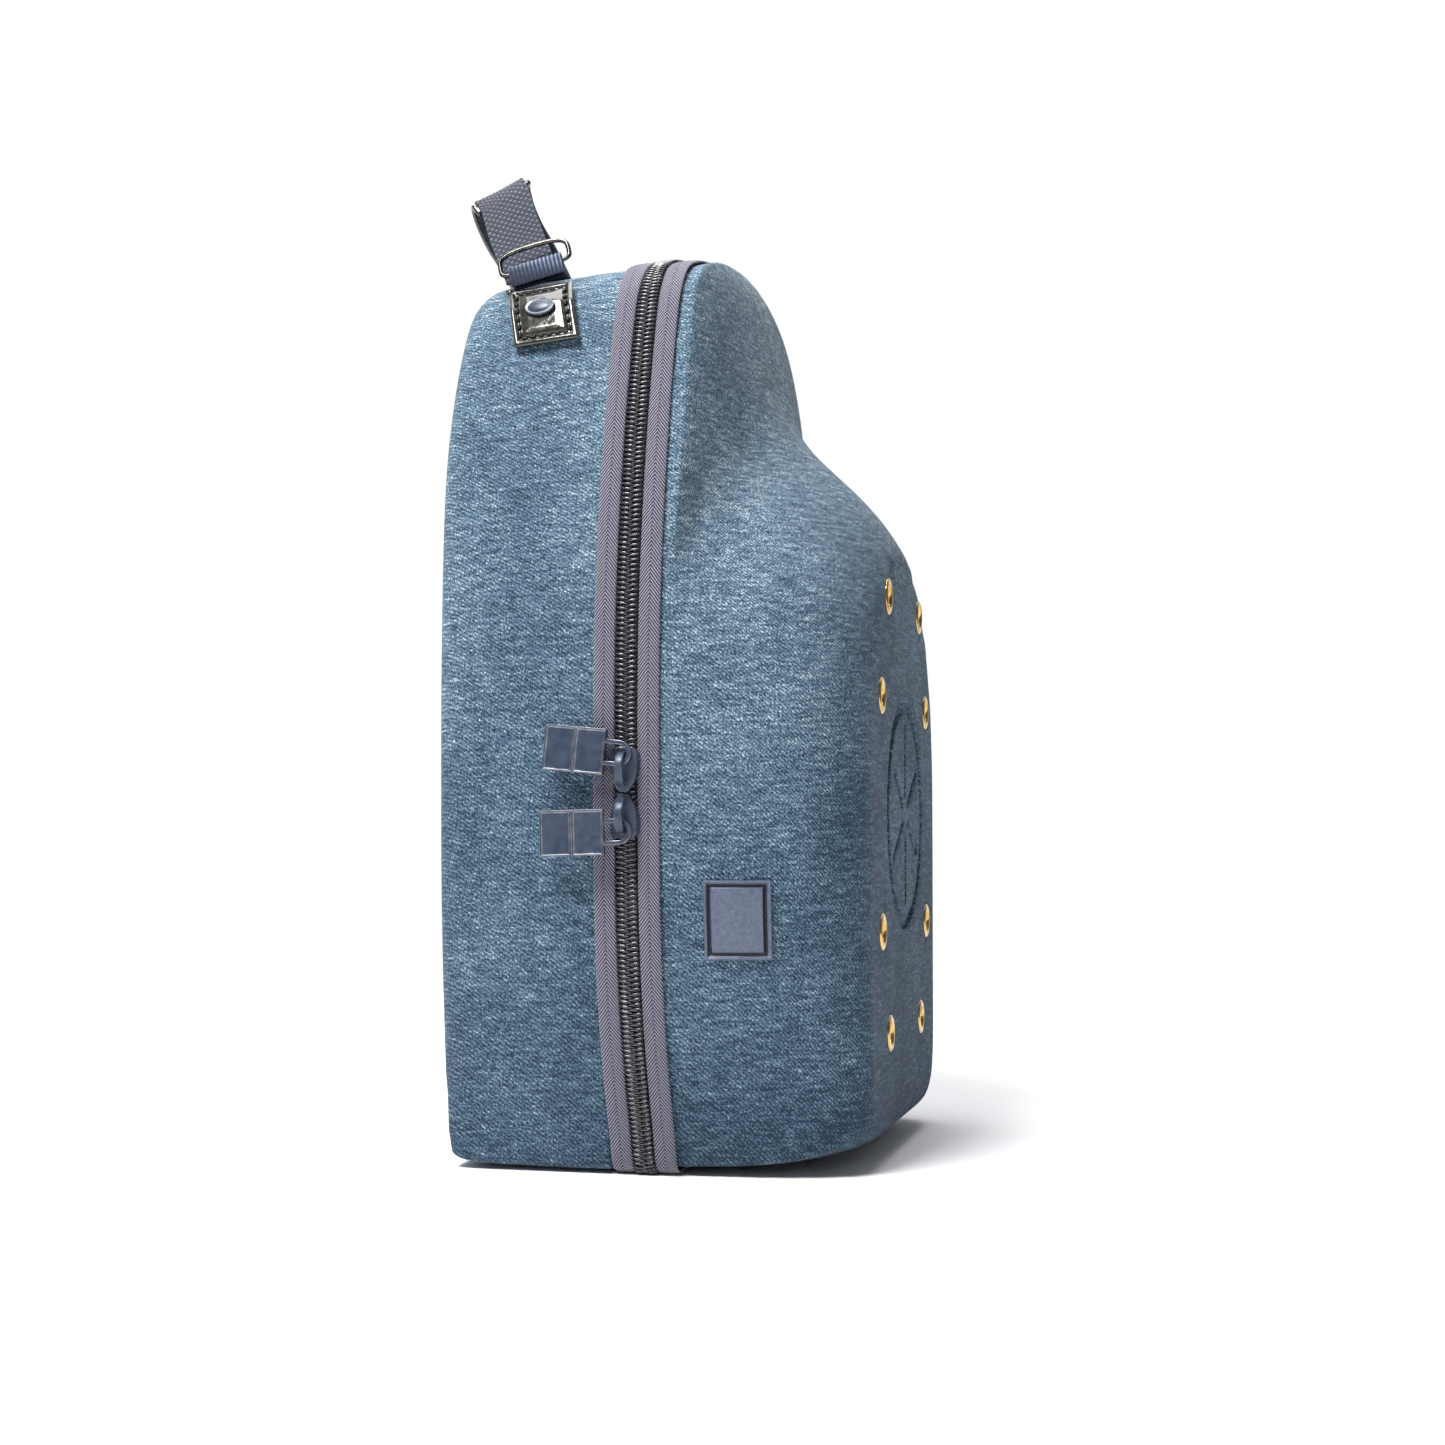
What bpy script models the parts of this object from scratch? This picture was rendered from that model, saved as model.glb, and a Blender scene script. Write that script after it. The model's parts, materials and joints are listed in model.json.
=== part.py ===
"""A moulded carrier case for baseball caps, standing upright on its zip ridge.

Metres, +Z up. The zip lies in the plane Y = 0, the cap-shaped front half faces -Y,
the plain back half faces +Y, and the zip sliders are on the -X side.
"""
from collections import namedtuple
from math import atan2, cos, hypot, pi, radians, sin

import bmesh
import bpy
from mathutils import Matrix, Vector

# Overall sizes of the zipped-up case
WIDTH = 0.240
HEIGHT = 0.347
FRONT_DEPTH = 0.080
BACK_DEPTH = 0.076
SEGMENTS = 64

# Shells
GAP = 0.0003
WALL = 0.004
RIM_DEPTH = 0.0025

# Zip
TAPE_SUNK = 0.0010
TAPE_THICK = 0.0011
TAPE_EDGE = 0.0120
COIL_HALF = 0.0039
COIL_HEIGHT = TAPE_SUNK + TAPE_THICK
SHELL_SUNK = TAPE_SUNK + TAPE_THICK + GAP
HINGE_FIRST = 9
HINGE_LAST = 22

# How far the back half stands out past the tape's seat at the bottom, and the visor at the top
BASE_PROUD = 0.0021
BACK_START = TAPE_EDGE + 0.0010
BILL_PROUD = 0.0020

# Crown of the front half
CENTRE_HEIGHT = 0.125
FACE_HALF = 0.077
FACE_BOTTOM = 0.016
FACE_CORNER = 0.024
FACE_SPRING = 0.145
FACE_TOP = 0.232
CROWN_SPRING = 0.165
CROWN_TOP = 0.284
CROWN_BLEND = 0.014

# Visor part of the front half
BILL_TOP = 0.338
BILL_LOW = 0.270
BILL_SHALLOW = 0.023
BILL_DEEP = 0.033
BILL_SAG = 0.019
BILL_EDGE = 0.011

# Eyelets round the emblem, and the sunk emblem
EYELET_OUTER = 0.0070
EYELET_BARREL = 0.0050
EYELET_BORE = 0.0039
EYELET_STAND = 0.0012
EYELET_SIDES = 14
EMBLEM_RADIUS = 0.045
EMBLEM_BAND = 0.0055
EMBLEM_SINK = 0.0018
EMBLEM_HEIGHT = 0.1295
SEAM_HALF = 0.0016
BUTTON_RADIUS = 0.006

# Rubber patch on the near side wall
PATCH_HEIGHT = 0.092
PATCH_TALL = 0.0275
PATCH_FROM = 0.0270
PATCH_TO = 0.0490
PATCH_THICK = 0.0016

# Sliders and pulls
SLIDER_LONG = 0.0154
SLIDER_HALF = 0.0052
SLIDER_PLATE = 0.0018
SLIDER_APART = 0.0008
MEETING_HEIGHT = 0.1360
BRIDGE_LEG = 0.0054
BRIDGE_RISE = 0.0066
BRIDGE_THICK = 0.0017
BRIDGE_HALF = 0.0013
PULL_LONG = 0.0228
PULL_TALL = 0.0160
PULL_THICK = 0.0026
PULL_BORDER = 0.0011
PULL_SINK = 0.0005
WIRE_HALF = 0.0008
LOOP_HALF = 0.0038
LOOP_REACH = 0.0060
LOOP_PAST = 0.0030

# Handle and what holds it
TAB_WIDE = 0.0255
TAB_LONG = 0.0300
TAB_THICK = 0.0028
TAB_DEPTH = 0.0404
TAB_HEIGHT = 0.3150
TAB_SHEAR = 0.24
RIVET_RADIUS = 0.0060
RIVET_STAND = 0.0014
RIVET_RISE = 0.0002
RIVET_BACK = 0.0000
KEEPER_WIDE = 0.0205
KEEPER_THICK = 0.0013
KEEPER_RISE = 0.0085
KEEPER_SLACK = 0.0007
KEEPER_UPRIGHT = 2.2
KEEPER_SHIFT = 0.0016
KEEPER_SEAT = 0.0030
KEEPER_FOOT = 0.0026
RING_WIRE = 0.0011
RING_HALF_LONG = 0.0136
RING_HALF_TALL = 0.0048
HANDLE_RISE = 0.0400
HANDLE_FALL_BACK = 0.0232
HANDLE_SHIFT = 0.0030
HANDLE_SEWN = 0.0015
GRIP_FROM = 8
GRIP_GAP = 0.0009
WEBBING_WIDE = 0.0205
WEBBING_THICK = 0.0015
GRIP_WIDE = 0.0245
GRIP_THICK = 0.0016

Knot = namedtuple("Knot", "half_width height")

# Outside of the zip, from the middle of the bottom to the middle of the top,
# as shares of half the width and of the height
ZIP_LINE = (
    Knot(0.000, 0.000),
    Knot(0.725, 0.000),
    Knot(0.775, 0.006),
    Knot(0.802, 0.026),
    Knot(0.837, 0.059),
    Knot(0.885, 0.106),
    Knot(0.942, 0.177),
    Knot(0.985, 0.280),
    Knot(1.000, 0.430),
    Knot(0.993, 0.560),
    Knot(0.955, 0.672),
    Knot(0.900, 0.766),
    Knot(0.848, 0.836),
    Knot(0.790, 0.897),
    Knot(0.715, 0.944),
    Knot(0.590, 0.970),
    Knot(0.380, 0.989),
    Knot(0.000, 1.000),
)

# Edge of the flat back face, as the same shares
BACK_FACE_LINE = (
    Knot(0.000, 0.026),
    Knot(0.670, 0.026),
    Knot(0.735, 0.042),
    Knot(0.765, 0.085),
    Knot(0.782, 0.180),
    Knot(0.800, 0.310),
    Knot(0.810, 0.450),
    Knot(0.815, 0.600),
    Knot(0.803, 0.720),
    Knot(0.738, 0.807),
    Knot(0.632, 0.880),
    Knot(0.500, 0.928),
    Knot(0.000, 0.950),
)

# Middle of the soft handle from the near ring to the far one: shares of half the span,
# of the fall to the back and of the rise, and the lean of its width in degrees
Bend = namedtuple("Bend", "across back up lean")
HANDLE_LINE = (
    Bend(-1.00, 0.00, 0.00, 8),
    Bend(-0.95, 0.20, 0.22, 9),
    Bend(-0.87, 0.46, 0.52, 13),
    Bend(-0.78, 0.72, 0.86, 22),
    Bend(-0.68, 0.94, 0.99, 26),
    Bend(-0.58, 0.96, 0.86, 26),
    Bend(-0.48, 0.88, 0.68, 22),
    Bend(-0.36, 0.77, 0.52, 18),
    Bend(-0.20, 0.74, 0.38, 16),
    Bend(0.10, 0.82, 0.29, 14),
    Bend(0.40, 0.74, 0.28, 12),
    Bend(0.68, 0.54, 0.29, 10),
    Bend(0.86, 0.30, 0.26, 9),
    Bend(0.96, 0.10, 0.12, 8),
    Bend(1.00, 0.00, 0.00, 8),
)

# Section of the back half from the tape to the back face,
# as shares of the way in and of the way back
Turn = namedtuple("Turn", "inward backward")
BACK_WALL = (
    Turn(0.00, 0.00),
    Turn(0.10, 0.35),
    Turn(0.25, 0.76),
)


def clear_scene():
    for thing in list(bpy.data.objects):
        bpy.data.objects.remove(thing, do_unlink=True)


def finish(name, mesh, colour, roughness, metallic=0.0):
    """Puts a bmesh in the scene as a named object with a material of its own."""
    bmesh.ops.remove_doubles(mesh, verts=mesh.verts, dist=1e-7)
    bmesh.ops.recalc_face_normals(mesh, faces=mesh.faces)
    data = bpy.data.meshes.new(name)
    mesh.to_mesh(data)
    mesh.free()
    for face in data.polygons:
        face.use_smooth = len(face.vertices) == 4
    thing = bpy.data.objects.new(name, data)
    bpy.context.collection.objects.link(thing)
    material = bpy.data.materials.new(name)
    material.use_nodes = True
    shader = material.node_tree.nodes["Principled BSDF"]
    shader.inputs["Base Color"].default_value = (*colour, 1.0)
    shader.inputs["Roughness"].default_value = roughness
    shader.inputs["Metallic"].default_value = metallic
    data.materials.append(material)
    return thing


def cut(thing, cutter, operation="DIFFERENCE"):
    """Cuts or joins another object, which is then hidden."""
    cutter.hide_render = True
    cutter.display_type = "WIRE"
    change = thing.modifiers.new(cutter.name, "BOOLEAN")
    change.operation = operation
    change.solver = "EXACT"
    change.object = cutter


def spline(a, b, c, d, t):
    return 0.5 * (
        2 * b + (c - a) * t + (2 * a - 5 * b + 4 * c - d) * t * t + (3 * b - a - 3 * c + d) * t ** 3
    )


def closed_curve(knots, count):
    """Even points round the mirrored curve, from the middle of the bottom by the far side."""
    half = [Vector((k.half_width * WIDTH / 2, k.height * HEIGHT)) for k in knots]
    ring = half + [Vector((-p.x, p.y)) for p in reversed(half[1:-1])]
    fine = []
    for i in range(len(ring)):
        four = [ring[(i + j) % len(ring)] for j in (-1, 0, 1, 2)]
        fine += [spline(*four, step / 24) for step in range(24)]
    fine.append(fine[0])
    lengths = [0.0]
    for p, q in zip(fine, fine[1:]):
        lengths.append(lengths[-1] + (q - p).length)
    points = []
    at = 0
    for i in range(count):
        want = lengths[-1] * i / count
        while lengths[at + 1] < want:
            at += 1
        share = (want - lengths[at]) / (lengths[at + 1] - lengths[at])
        points.append(fine[at].lerp(fine[at + 1], share))
    return points


def outward_at(points, i):
    along = points[(i + 1) % len(points)] - points[i - 1]
    return Vector((along.y, -along.x)).normalized()


def inset(points, distance):
    return [p - outward_at(points, i) * distance for i, p in enumerate(points)]


def radius_towards(curve, angle):
    """Distance from the crown's centre to a closed curve of points, in one direction."""
    aim = Vector((cos(angle), sin(angle)))
    centre = Vector((0, CENTRE_HEIGHT))
    best = 0.0
    for p, q in zip(curve, curve[1:] + curve[:1]):
        p, q = p - centre, q - centre
        side_p, side_q = aim.cross(p), aim.cross(q)
        if side_p <= 0 <= side_q and side_p != side_q:
            hit = p.lerp(q, side_p / (side_p - side_q))
            best = max(best, hit.dot(aim))
    return best


def face_curve():
    """Edge of the flat front face: a box with round lower corners under half an ellipse."""
    points = []
    for i in range(13):
        turn = -pi / 2 + pi / 2 * i / 12
        points.append(Vector((
            FACE_HALF - FACE_CORNER + FACE_CORNER * cos(turn),
            FACE_BOTTOM + FACE_CORNER + FACE_CORNER * sin(turn),
        )))
    for i in range(33):
        turn = pi * i / 32
        points.append(Vector((
            FACE_HALF * cos(turn),
            FACE_SPRING + (FACE_TOP - FACE_SPRING) * sin(turn),
        )))
    return points + [Vector((-p.x, p.y)) for p in reversed(points[:13])]


def arch_radius(angle):
    """Distance from the crown's centre to the arch where the crown rises out of the visor."""
    low, high = 0.0, 0.4
    for _ in range(30):
        middle = (low + high) / 2
        x, z = middle * cos(angle), CENTRE_HEIGHT + middle * sin(angle)
        up = max(0.0, z - CROWN_SPRING) / (CROWN_TOP - CROWN_SPRING)
        across = abs(x) / (WIDTH / 2)
        inside = across ** 2 + up ** 2 < 1
        low, high = (middle, high) if inside else (low, middle)
    return low


def smooth_step(value):
    value = min(1.0, max(0.0, value))
    return value * value * (3 - 2 * value)


class FrontForm:
    """Depth of the front half at any place of its outline."""

    def __init__(self, outline):
        self.count = 360
        angles = [2 * pi * i / self.count for i in range(self.count)]
        face = face_curve()
        self.face = [radius_towards(face, a) for a in angles]
        self.rim = [radius_towards(outline, a) for a in angles]
        self.crown = [min(r, arch_radius(a)) for r, a in zip(self.rim, angles)]

    def towards(self, table, x, z):
        place = atan2(z - CENTRE_HEIGHT, x) / (2 * pi) % 1 * self.count
        first = int(place) % self.count
        share = place - int(place)
        return table[first] * (1 - share) + table[(first + 1) % self.count] * share

    def crown_depth(self, x, z):
        reach = hypot(x, z - CENTRE_HEIGHT)
        inner = self.towards(self.face, x, z)
        outer = self.towards(self.crown, x, z)
        share = min(1.0, max(0.0, (reach - inner) / (outer - inner)))
        power = 2.5 - 0.5 * smooth_step((z - 0.01) / 0.05) - 0.5 * smooth_step((z - 0.17) / 0.06)
        return TAPE_EDGE + (FRONT_DEPTH - TAPE_EDGE) * (1 - share ** power) ** (1 / power)

    def visor_depth(self, x, z):
        down = min(1.0, max(0.0, (BILL_TOP - z) / (BILL_TOP - BILL_LOW)))
        ridge = BILL_SHALLOW + (BILL_DEEP - BILL_SHALLOW) * (1 - (1 - down) ** 2)
        bill = ridge - BILL_SAG * (x / (WIDTH / 2)) ** 2
        from_rim = self.towards(self.rim, x, z) - hypot(x, z - CENTRE_HEIGHT)
        open_share = 1 - min(1.0, max(0.0, from_rim / BILL_EDGE))
        return TAPE_EDGE + (bill - TAPE_EDGE) * (1 - open_share ** 2) ** 0.5

    def depth(self, x, z):
        crown, visor = self.crown_depth(x, z), self.visor_depth(x, z)
        near = max(0.0, CROWN_BLEND - abs(crown - visor)) / CROWN_BLEND
        rising = smooth_step((z - 0.15) / 0.05)
        return min(FRONT_DEPTH, max(crown, visor) + near * near * CROWN_BLEND / 4 * rising)


def bridge_rings(mesh, rings):
    """Joins rings of vertices with quads, one ring to the next."""
    for low, high in zip(rings, rings[1:]):
        for i in range(len(low)):
            j = (i + 1) % len(low)
            mesh.faces.new((low[i], low[j], high[j], high[i]))


def ring_of(mesh, points, y):
    depths = y if isinstance(y, list) else [y] * len(points)
    return [mesh.verts.new((p.x, d, p.y)) for p, d in zip(points, depths)]


def solidify(thing):
    wall = thing.modifiers.new("wall", "SOLIDIFY")
    wall.thickness = WALL
    wall.offset = -1.0
    wall.use_even_offset = True


def shell_outline(outline, base_proud, top_proud):
    """Edge of a half outside the tape, standing prouder at the bottom or at the top."""
    points = []
    for i, p in enumerate(outline):
        proud = top_proud * smooth_step((p.y / HEIGHT - 0.88) / 0.09)
        proud += base_proud * (1 - smooth_step(p.y / HEIGHT / 0.03))
        points.append(p - outward_at(outline, i) * (SHELL_SUNK - proud))
    return points


def front_shell(outline, form):
    face = face_curve()
    rim = inset(outline, SHELL_SUNK)
    brim = shell_outline(outline, 0, BILL_PROUD)
    centre = Vector((0, CENTRE_HEIGHT))
    edge = []
    for p in brim:
        away = p - centre
        edge.append(centre + away.normalized() * radius_towards(face, atan2(away.y, away.x)))
    mesh = bmesh.new()
    rings = [ring_of(mesh, rim, -RIM_DEPTH), ring_of(mesh, rim, -TAPE_EDGE - GAP)]
    for share in (0.01, 0.04, 0.08, 0.14, 0.22, 0.31, 0.41, 0.52, 0.64, 0.76, 0.88, 1.0):
        points = [p.lerp(q, share) for p, q in zip(brim, edge)]
        rings.append(ring_of(mesh, points, [-form.depth(p.x, p.y) for p in points]))
    bridge_rings(mesh, rings)
    mesh.faces.new(rings[-1])
    shell = finish("front_shell", mesh, (0.10, 0.17, 0.25), 0.9)
    solidify(shell)
    cut(shell, eyelet_holes())
    cut(shell, emblem_tool())
    return shell


def back_sections():
    """Shares in and back of every ring of the back half, from the tape to the flat face."""
    sections = list(BACK_WALL)
    last = BACK_WALL[-1]
    for i in range(1, 6):
        turn = pi / 2 * i / 5
        sections.append(Turn(
            last.inward + (1 - last.inward) * (1 - cos(turn)),
            last.backward + (1 - last.backward) * sin(turn),
        ))
    return sections


def inward_at(turn, place):
    """The underside stays flat further back than the sides do."""
    return turn.inward ** (2 - smooth_step(place.y / HEIGHT / 0.10))


def back_shell(outline):
    rim = inset(outline, SHELL_SUNK)
    brim = shell_outline(outline, BASE_PROUD, 0)
    edge = closed_curve(BACK_FACE_LINE, SEGMENTS)
    mesh = bmesh.new()
    rings = [ring_of(mesh, rim, RIM_DEPTH), ring_of(mesh, rim, TAPE_EDGE + GAP)]
    for turn in back_sections():
        points = [p.lerp(q, inward_at(turn, p)) for p, q in zip(brim, edge)]
        rings.append(ring_of(mesh, points, BACK_START + (BACK_DEPTH - BACK_START) * turn.backward))
    bridge_rings(mesh, rings)
    mesh.faces.new(rings[-1])
    shell = finish("back_shell", mesh, (0.10, 0.17, 0.25), 0.9)
    solidify(shell)
    return shell


def back_point(outline, along, depth):
    """A place on the outside of the back half, and the way out of it."""
    rim = shell_outline(outline, BASE_PROUD, 0)
    edge = closed_curve(BACK_FACE_LINE, SEGMENTS)

    def on_shell(s, d):
        i = int(s) % SEGMENTS
        j = (i + 1) % SEGMENTS
        share = s - int(s)
        p = rim[i].lerp(rim[j], share)
        q = edge[i].lerp(edge[j], share)
        back = (d - BACK_START) / (BACK_DEPTH - BACK_START)
        sections = back_sections()
        for low, high in zip(sections, sections[1:]):
            if back <= high.backward:
                break
        part = (back - low.backward) / (high.backward - low.backward)
        place = p.lerp(q, low.inward + (high.inward - low.inward) * part)
        return Vector((place.x, d, place.y))

    here = on_shell(along, depth)
    step = 0.3
    up = on_shell(along + step, depth) - on_shell(along - step, depth)
    back = on_shell(along, depth + 0.002) - on_shell(along, depth - 0.002)
    out = up.cross(back).normalized()
    if out.x * here.x < 0:
        out.negate()
    return here, out


def strip(outline, first, last, section, trim=0.0):
    """Sweeps a section of (outward, depth) corners along part of the zip line."""
    mesh = bmesh.new()
    rows = []
    for k in range(first, last + 1):
        i = k % SEGMENTS
        out = outward_at(outline, i)
        place = outline[i].copy()
        along = Vector((-out.y, out.x))
        if k == first:
            place += along * trim
        if k == last:
            place -= along * trim
        row = []
        for outward, depth in section:
            spot = place + out * outward
            row.append(mesh.verts.new((spot.x, depth, spot.y)))
        rows.append(row)
    bridge_rings(mesh, rows)
    mesh.faces.new(rows[0])
    mesh.faces.new(list(reversed(rows[-1])))
    return mesh


def tape(outline, name, side):
    top, bottom = -TAPE_SUNK, -TAPE_SUNK - TAPE_THICK
    inner, outer = side * (COIL_HALF + GAP), side * TAPE_EDGE
    section = ((bottom, inner), (top, inner), (top, outer), (bottom, outer))
    mesh = strip(outline, HINGE_LAST, HINGE_FIRST + SEGMENTS, section, GAP / 2)
    finish(name, mesh, (0.16, 0.16, 0.24), 0.8)


def zip_coil(outline):
    section = (
        (-COIL_HEIGHT, -COIL_HALF),
        (-COIL_HEIGHT * 0.4, -COIL_HALF),
        (0.0, -COIL_HALF * 0.5),
        (0.0, COIL_HALF * 0.5),
        (-COIL_HEIGHT * 0.4, COIL_HALF),
        (-COIL_HEIGHT, COIL_HALF),
    )
    mesh = strip(outline, HINGE_LAST, HINGE_FIRST + SEGMENTS, section, GAP / 2)
    finish("zip_coil", mesh, (0.02, 0.02, 0.04), 0.35)


def hinge_panel(outline):
    top, bottom = -TAPE_SUNK * 0.6, -TAPE_SUNK - TAPE_THICK
    section = ((bottom, -TAPE_EDGE), (top, -TAPE_EDGE), (top, TAPE_EDGE), (bottom, TAPE_EDGE))
    mesh = strip(outline, HINGE_FIRST, HINGE_LAST, section, GAP / 2)
    finish("hinge_panel", mesh, (0.10, 0.17, 0.25), 0.9)


def eyelet_places():
    """Four eyelets on each side of the emblem, alike above and below its middle."""
    places = []
    for across, up in ((0.039, 0.082), (0.056, 0.0435)):
        for side in (-1, 1):
            for way in (1, -1):
                places.append((side * across, EMBLEM_HEIGHT + way * up))
    return places


def turned(mesh, profile, place, axis_turn, sides):
    """Spins a closed profile of (radius, outward) corners round an axis along -Y, then places it."""
    rings = []
    for radius, outward in profile:
        ring = []
        for i in range(sides):
            turn = 2 * pi * i / sides
            spot = Vector((radius * cos(turn), -outward, radius * sin(turn)))
            ring.append(mesh.verts.new(place + axis_turn @ spot))
        rings.append(ring)
    return rings


def eyelet_holes():
    mesh = bmesh.new()
    flat = Matrix.Identity(3)
    for x, z in eyelet_places():
        place = Vector((x, -FRONT_DEPTH, z))
        radius = EYELET_BARREL + GAP
        rings = turned(mesh, ((radius, 0.01), (radius, -0.01)), place, flat, EYELET_SIDES)
        bridge_rings(mesh, rings)
        mesh.faces.new(rings[0])
        mesh.faces.new(list(reversed(rings[-1])))
    return finish("eyelet_holes", mesh, (0.5, 0.5, 0.5), 0.5)


def add_box(mesh, size, matrix):
    made = bmesh.ops.create_cube(mesh, size=1.0)
    scale = Matrix.Diagonal((*size, 1.0))
    bmesh.ops.transform(mesh, matrix=matrix @ scale, verts=made["verts"])


def emblem_tool():
    """A sunk ring round six sunk seams: a plain six-panel cap seen from above."""
    mesh = bmesh.new()
    place = Vector((0, -FRONT_DEPTH, EMBLEM_HEIGHT))
    flat = Matrix.Identity(3)
    inner = EMBLEM_RADIUS - EMBLEM_BAND
    band = (
        (EMBLEM_RADIUS, 0.004), (EMBLEM_RADIUS, -EMBLEM_SINK),
        (inner, -EMBLEM_SINK), (inner, 0.004), (EMBLEM_RADIUS, 0.004),
    )
    rings = turned(mesh, band, place, flat, 32)
    bridge_rings(mesh, rings)
    long = inner - BUTTON_RADIUS - 2 * SEAM_HALF
    for i in range(6):
        away = BUTTON_RADIUS + long / 2
        turn = Matrix.Translation(place) @ Matrix.Rotation(2 * pi * (i + 0.5) / 6, 4, "Y")
        seam = turn @ Matrix.Translation((away, 0.001, 0))
        add_box(mesh, (long, 2 * (EMBLEM_SINK - 0.001) + 0.004, 2 * SEAM_HALF), seam)
    return finish("emblem_tool", mesh, (0.5, 0.5, 0.5), 0.5)


def eyelets():
    profile = (
        (EYELET_BORE, -WALL - 0.0012),
        (EYELET_BARREL, -WALL - 0.0012),
        (EYELET_BARREL, GAP),
        (EYELET_OUTER, GAP),
        (EYELET_OUTER - 0.0010, EYELET_STAND),
        (EYELET_BORE + 0.0012, EYELET_STAND),
        (EYELET_BORE, 0.0),
        (EYELET_BORE, -WALL - 0.0012),
    )
    for number, (x, z) in enumerate(eyelet_places(), start=1):
        mesh = bmesh.new()
        place = Vector((x, -FRONT_DEPTH, z))
        rings = turned(mesh, profile, place, Matrix.Identity(3), EYELET_SIDES)
        bridge_rings(mesh, rings)
        finish(f"eyelet_{number}", mesh, (0.83, 0.57, 0.18), 0.25, 1.0)


def wall_x(form, depth, z):
    """Distance from the middle plane to the side wall of the front half."""
    low, high = 0.0, WIDTH / 2
    for _ in range(30):
        middle = (low + high) / 2
        low, high = (middle, high) if form.depth(middle, z) > depth else (low, middle)
    return low


def side_patch(form):
    mesh = bmesh.new()
    rows = []
    for i in range(5):
        z = PATCH_HEIGHT + PATCH_TALL * (i / 4 - 0.5)
        row = []
        for j in range(4):
            depth = PATCH_FROM + (PATCH_TO - PATCH_FROM) * j / 3
            x = wall_x(form, depth, z)
            slope = (wall_x(form, depth - 0.002, z) - wall_x(form, depth + 0.002, z)) / 0.004
            out = Vector((-1, -slope, 0)).normalized()
            here = Vector((-x, -depth, z))
            row.append((mesh.verts.new(here + out * GAP), mesh.verts.new(here + out * PATCH_THICK)))
        rows.append(row)
    slab_faces(mesh, rows)
    finish("side_patch", mesh, (0.07, 0.08, 0.16), 0.45)


def slab_faces(mesh, rows):
    """Closes a grid of (under, over) vertex pairs into one slab."""
    last_row, last_column = len(rows) - 1, len(rows[0]) - 1
    for i in range(last_row):
        for j in range(last_column):
            four = rows[i][j], rows[i][j + 1], rows[i + 1][j + 1], rows[i + 1][j]
            mesh.faces.new([pair[1] for pair in four])
            mesh.faces.new([pair[0] for pair in reversed(four)])
    edge = [(0, j) for j in range(last_column)]
    edge += [(i, last_column) for i in range(last_row)]
    edge += [(last_row, j) for j in range(last_column, 0, -1)]
    edge += [(i, 0) for i in range(last_row, 0, -1)]
    for here, there in zip(edge, edge[1:] + edge[:1]):
        a, b = rows[here[0]][here[1]], rows[there[0]][there[1]]
        mesh.faces.new((a[0], b[0], b[1], a[1]))


def frames_along(path, ways):
    """Each place of a path with the unit ways out of a strip there and across it."""
    frames = []
    for i, here in enumerate(path):
        along = (path[min(i + 1, len(path) - 1)] - path[max(i - 1, 0)]).normalized()
        out = along.cross(ways[i]).normalized()
        frames.append((here, out, out.cross(along).normalized()))
    return frames


def sweep(mesh, frames, wide, thick, under=0.0):
    """Sweeps a rectangle along the frames of a path, or along the path moved under itself."""
    rings = []
    for here, out, across in frames:
        middle = here - out * under
        half, up = across * wide / 2, out * thick / 2
        corners = (half + up, up - half, -half - up, half - up)
        rings.append([mesh.verts.new(middle + corner) for corner in corners])
    bridge_rings(mesh, rings)
    mesh.faces.new(rings[0])
    mesh.faces.new(list(reversed(rings[-1])))


def slider(name, middle, way):
    """A slider whose wide end points up for way = 1 and down for way = -1."""
    under = -WIDTH / 2 - GAP
    top = under - SLIDER_PLATE
    foot = -WIDTH / 2 + TAPE_SUNK - GAP
    shape = ((0.30, -1.0), (0.80, -0.55), (1.0, 0.0), (1.0, 0.75), (0.72, 1.0))
    ring = [(y, z) for y, z in shape] + [(-y, z) for y, z in reversed(shape)]
    mesh = bmesh.new()
    low, high = [], []
    for y, z in ring:
        spot = Vector((0, y * SLIDER_HALF, middle + way * z * SLIDER_LONG / 2))
        low.append(mesh.verts.new(spot + Vector((foot, 0, 0))))
        high.append(mesh.verts.new(Vector((top, spot.y * 0.9, spot.z))))
    bridge_rings(mesh, [low, high])
    mesh.faces.new(low)
    mesh.faces.new(list(reversed(high)))
    body = finish(name, mesh, (0.06, 0.07, 0.14), 0.3, 0.6)
    channel = bmesh.new()
    deep = 0.004
    place = Matrix.Translation((under + deep / 2, 0, middle))
    add_box(channel, (deep, 2 * (COIL_HALF + GAP), 2 * SLIDER_LONG), place)
    cut(body, finish(name + "_channel", channel, (0.5, 0.5, 0.5), 0.5))
    arch = bmesh.new()
    path = []
    for i in range(9):
        turn = pi * i / 8
        z = middle + way * (BRIDGE_LEG * cos(turn))
        path.append(Vector((top + 0.0006 - BRIDGE_RISE * sin(turn) ** 0.6, 0, z)))
    frames = frames_along(path, [Vector((0, 1, 0))] * len(path))
    sweep(arch, frames, 2 * BRIDGE_HALF, BRIDGE_THICK)
    cut(body, finish(name + "_bridge", arch, (0.5, 0.5, 0.5), 0.5), "UNION")


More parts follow.
